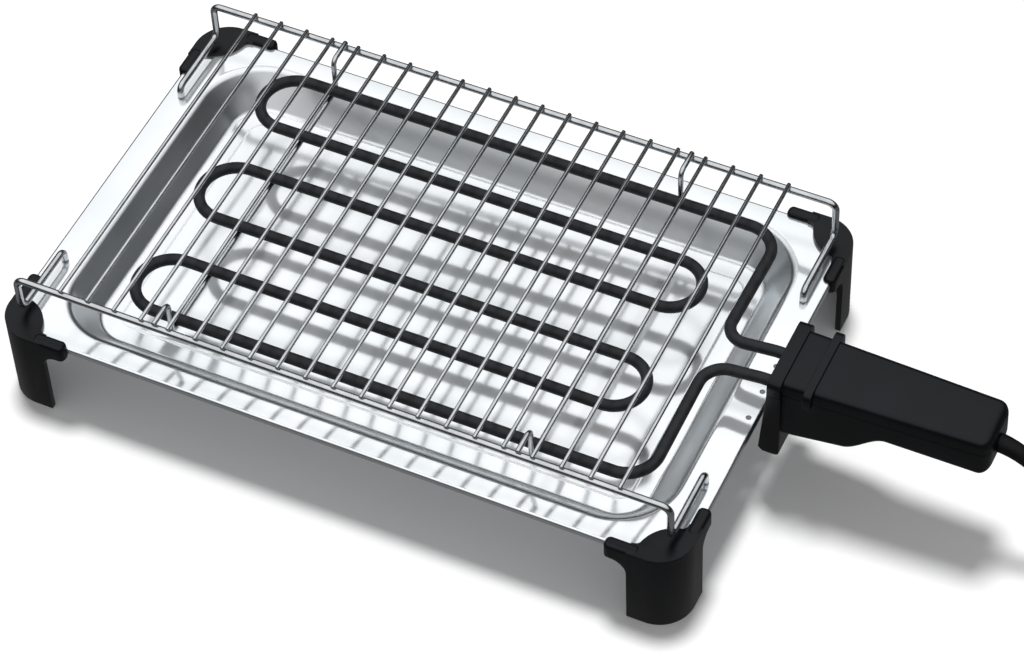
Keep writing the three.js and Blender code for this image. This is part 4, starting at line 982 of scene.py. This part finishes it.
def smooth_curve(points):
    """A centripetal curve through the points: each knot comes the square root of the distance after the
    one before it. Between two points it blends the three lines through them and their neighbours, each
    with the next, until one curve is left."""
    points = np.array(points, float)
    padded = np.vstack([2 * points[0] - points[1], points, 2 * points[-1] - points[-2]])
    spans = []
    for p0, p1, p2, p3 in zip(padded, padded[1:], padded[2:], padded[3:]):
        lengths = np.linalg.norm([p1 - p0, p2 - p1, p3 - p2], axis=1)
        t1, t2, t3 = np.cumsum(np.sqrt(lengths))
        count = max(2, round(lengths[1] / CORD_STEP))
        t = np.linspace(t1, t2, count, endpoint=False)[:, None]
        before = ((t1 - t) * p0 + t * p1) / t1
        between = ((t2 - t) * p1 + (t - t1) * p2) / (t2 - t1)
        behind = ((t3 - t) * p2 + (t - t2) * p3) / (t3 - t2)
        near = ((t2 - t) * before + t * between) / t2
        far = ((t3 - t) * between + (t - t1) * behind) / (t3 - t1)
        spans.append(((t2 - t) * near + (t - t1) * far) / (t2 - t1))
    return np.vstack([*spans, points[-1]])


def coil_points():
    """The wound length: a spiral whose radius shrinks evenly to where it reverses and then grows again. It
    goes in on the upper layer, climbs down during the half turn round its reversal, and comes out on the
    lower layer."""
    turn = np.arange(round((TURNS_IN + TURNS_DOWN + TURNS_OUT) * COIL_STEPS) + 1) / COIL_STEPS
    reversal = TURNS_IN + TURNS_DOWN / 2
    radius = COIL_RADIUS - COIL_PITCH * (reversal - np.abs(turn - reversal))
    down_share = np.clip((turn - TURNS_IN) / TURNS_DOWN, 0, 1)
    angle = turn * 2 * math.pi
    return np.column_stack([
        COIL_CENTRE[0] + radius * np.cos(angle),
        COIL_CENTRE[1] + radius * np.sin(angle),
        CORD / 2 + LAY_GAP + COIL_PITCH * (1 - down_share),
    ])


def plug_place():
    """The plug's tilt as it lies on its waist and on the rim of its face, and the place of its neck."""
    tilt = math.atan2((PLUG_FACE - PLUG_WAIST) / 2, PLUG_FACE_X - PLUG_WAIST_X)
    height = PLUG_FACE / 2 * math.cos(tilt) - PLUG_FACE_X * math.sin(tilt) + PLUG_GAP
    return tilt, np.array([*PLUG_NECK, height])


def cord_route():
    """The whole free cord: a curve from the relief down onto the table and up onto the coil, the coil, and
    a curve round to the plug. The points between were laid as a cord comes to lie."""
    points, directions, _ = relief_path()
    leave = directions[-1]
    start = points[-1] + leave * SEAT_GAP
    coil = coil_points()
    back = np.array([0.0, CORD, 0.0])
    free = [
        start, start + leave * CORD * 2, (370.5, 2, 33), (383, 6, 18.5), (398, 13.5, 8.2),
        (413, 25, 4.2), (425, 41, 3.8), (432, 60, 4.4), (435, 80, 7.3), (435, 97, 10.5),
        coil[0] - back * 2, coil[0] - back,
    ]
    tilt, neck = plug_place()
    arrive = np.array([-math.cos(tilt), 0.0, math.sin(tilt)])
    end = neck - arrive * SEAT_GAP
    tail = [
        coil[-1] + back, (428, 153, 3.6), (421, 169, 3.6), (408, 181, 3.8), (392, 186.5, 6.6),
        end - arrive * CORD, end,
    ]
    return np.vstack([smooth_curve(free), coil, smooth_curve(tail)])


def make_tie(material):
    """The tie round the wound length, at the side of the coil that looks to the front: rounded rectangles
    round the bundle, two outside and two inside the strap, which are closed on themselves."""
    inner = COIL_RADIUS - COIL_PITCH * (TURNS_IN - 1 + TIE_SHARE)
    outer = COIL_RADIUS - COIL_PITCH * TIE_SHARE
    half_out = (outer - inner + CORD) / 2 + TIE_SLACK
    half_up = (CORD + LAY_GAP + COIL_PITCH + TIE_SHEET - TIE_LOW) / 2
    side = np.array([1, -1, -1, 1])
    sheet = TIE_SHEET * np.array([1, 1, 0, 0])
    corner = TIE_CORNER - TIE_SHEET + sheet
    flat = rounded_rings(half_out + sheet, half_up - TIE_SHEET + sheet, corner, steps=6)
    middle = (COIL_CENTRE[1] - (inner + outer) / 2, TIE_LOW + half_up)
    grid = set_across(flat + middle, COIL_CENTRE[0] + side * TIE_WIDTH / 2)
    return dress(surface("coil_tie", grid, closed=True), material, "element")


def make_cord(material):
    """The bend relief, and the free cord as one curve from it round the coil to the plug, with the tie round
    the coil.
    """
    relief = surface("bend_relief", sweep(*relief_path(), sides=32))
    dress(relief, material, "element", "strain_relief")
    route = row_points(cord_route())
    data = bpy.data.curves.new("supply_cord", "CURVE")
    data.dimensions = "3D"
    spline = data.splines.new("POLY")
    spline.points.add(len(route) - 1)
    spline.points.foreach_set("co", np.column_stack([route, np.ones(len(route))]).ravel())
    spline.use_smooth = True
    data.bevel_depth = (CORD / 2 - CORD_SLACK) * MM
    data.bevel_resolution = 6
    data.use_fill_caps = True
    data.materials.append(material)
    cord = bpy.data.objects.new("supply_cord", data)
    bpy.context.scene.collection.objects.link(cord)
    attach(cord, "element")
    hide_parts("power_cord", "cord_coil", "cord_tail")
    tie = make_tie(material)


def dress_nodes(finishes):
    """Finishes for the CAD nodes that stay, by how their names start: small metal parts, leads, plug."""
    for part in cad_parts.values():
        for start, material in finishes.items():
            if part.name.startswith(start):
                part.data.materials.clear()
                part.data.materials.append(material)


def make_floor():
    """A wide pale floor just under the feet, which the metal doesn't mirror."""
    floor = block("studio_floor", (-FLOOR_HALF, FLOOR_HALF), (-FLOOR_HALF, FLOOR_HALF), FLOOR_Z)
    floor.data.materials.append(studio_board())
    floor.visible_glossy = False


def make_lamp():
    """A broad overhead light, from slightly behind and to the left."""
    sun = bpy.data.lights.new("overhead_softbox", "SUN")
    sun.energy = LAMP_STRENGTH
    sun.angle = LAMP_SPREAD
    lamp = bpy.data.objects.new("overhead_softbox", sun)
    lamp.rotation_mode = "QUATERNION"
    lamp.rotation_quaternion = Vector(LAMP_AIM).to_track_quat("-Z", "Y")
    lamp.visible_glossy = False
    bpy.context.scene.collection.objects.link(lamp)


def mirrored_room(tree):
    """What the metal mirrors: a white ceiling over a darker room, by how far a direction leans towards
    the room's axis."""
    direction = node(tree, "ShaderNodeTexCoord")
    lean = node(
        tree, "ShaderNodeVectorMath", {"operation": "DOT_PRODUCT", 1: ROOM_AXIS},
        {0: direction.outputs["Generated"]},
    )
    share = node(tree, "ShaderNodeMath", {1: 0.5}, {0: lean.outputs["Value"]})
    room = node(tree, "ShaderNodeValToRGB", links={"Fac": share.outputs["Value"]})
    elements = room.color_ramp.elements
    while len(elements) < len(ROOM_SHARES):
        elements.new(0.5)
    for element, (position, brightness) in zip(elements, ROOM_SHARES):
        element.position = position
        element.color = (brightness, brightness, brightness, 1)
    return room.outputs["Color"]


def make_surround():
    """The world: rays that metal mirrors straight away meet the mirrored room, all other light comes from
    an even surround, and the camera sees a white backdrop."""
    world = bpy.data.worlds.new("studio")
    bpy.context.scene.world = world
    world.use_nodes = True
    tree = world.node_tree
    tree.nodes.clear()
    path = node(tree, "ShaderNodeLightPath")
    direct = node(
        tree, "ShaderNodeMath", {"operation": "SUBTRACT", "use_clamp": True},
        {0: path.outputs["Is Glossy Ray"], 1: path.outputs["Diffuse Depth"]},
    )
    lit = node(
        tree, "ShaderNodeMix", {"data_type": "RGBA", 6: SURROUND},
        {0: direct.outputs["Value"], 7: mirrored_room(tree)},
    )
    seen = node(
        tree, "ShaderNodeMix", {"data_type": "RGBA", 7: BACKDROP},
        {0: path.outputs["Is Camera Ray"], 6: lit.outputs[2]},
    )
    background = node(tree, "ShaderNodeBackground", links={"Color": seen.outputs[2]})
    node(tree, "ShaderNodeOutputWorld", links={"Surface": background.outputs["Background"]})


def make_camera():
    """The photograph's camera: its picture's up side is square to its right side and its depth."""
    data = bpy.data.cameras.new("photo_camera")
    data.sensor_width = CAMERA_SENSOR
    data.lens = CAMERA_LENS
    data.shift_x, data.shift_y = CAMERA_SHIFT
    data.clip_start, data.clip_end = CAMERA_REACH
    camera = bpy.data.objects.new("photo_camera", data)
    ahead = Vector(CAMERA_AHEAD).normalized()
    up = Vector(CAMERA_RIGHT).normalized().cross(ahead).normalized()
    right = ahead.cross(up).normalized()
    turn = Matrix((right, up, -ahead)).transposed()
    camera.matrix_world = Matrix.Translation(row_points(CAMERA_PLACE)[0]) @ turn.to_4x4()
    bpy.context.scene.collection.objects.link(camera)
    bpy.context.scene.camera = camera


make_camera()
plastic = phenolic()
rubber = sheath_rubber()
chrome = chrome_plate()
brass_part = brass()
zinc_part = zinc_plate()
make_cord(rubber)
make_tray(polished_steel())
make_feet(plastic)
make_long_wires(chrome)
make_cross_wires(chrome)
make_support_bars(chrome)
make_heater(oxidised_sheath())
make_housing(plastic)
dress_nodes({
    "shell_screw": zinc_part,
    "clamp_screw": zinc_part,
    "mounting_plate": zinc_part,
    "terminal_pin": zinc_part,
    "terminal_bead": steatite(),
    "connector": brass_part,
    "plug_earth": brass_part,
    "cord_clamp": plastic,
    "cord_inner": rubber,
    "lead_live": silicone("brown", "#5b3a22", "#66442a"),
    "lead_neutral": silicone("blue", "#26468e", "#2f509a"),
    "lead_earth": silicone("green", "#57912f", "#649f3a"),
    "plug_pin": nickel_plate(),
    "plug_body": rubber,
})
make_floor()
make_lamp()
make_surround()
bpy.context.scene.view_settings.view_transform = "Standard"
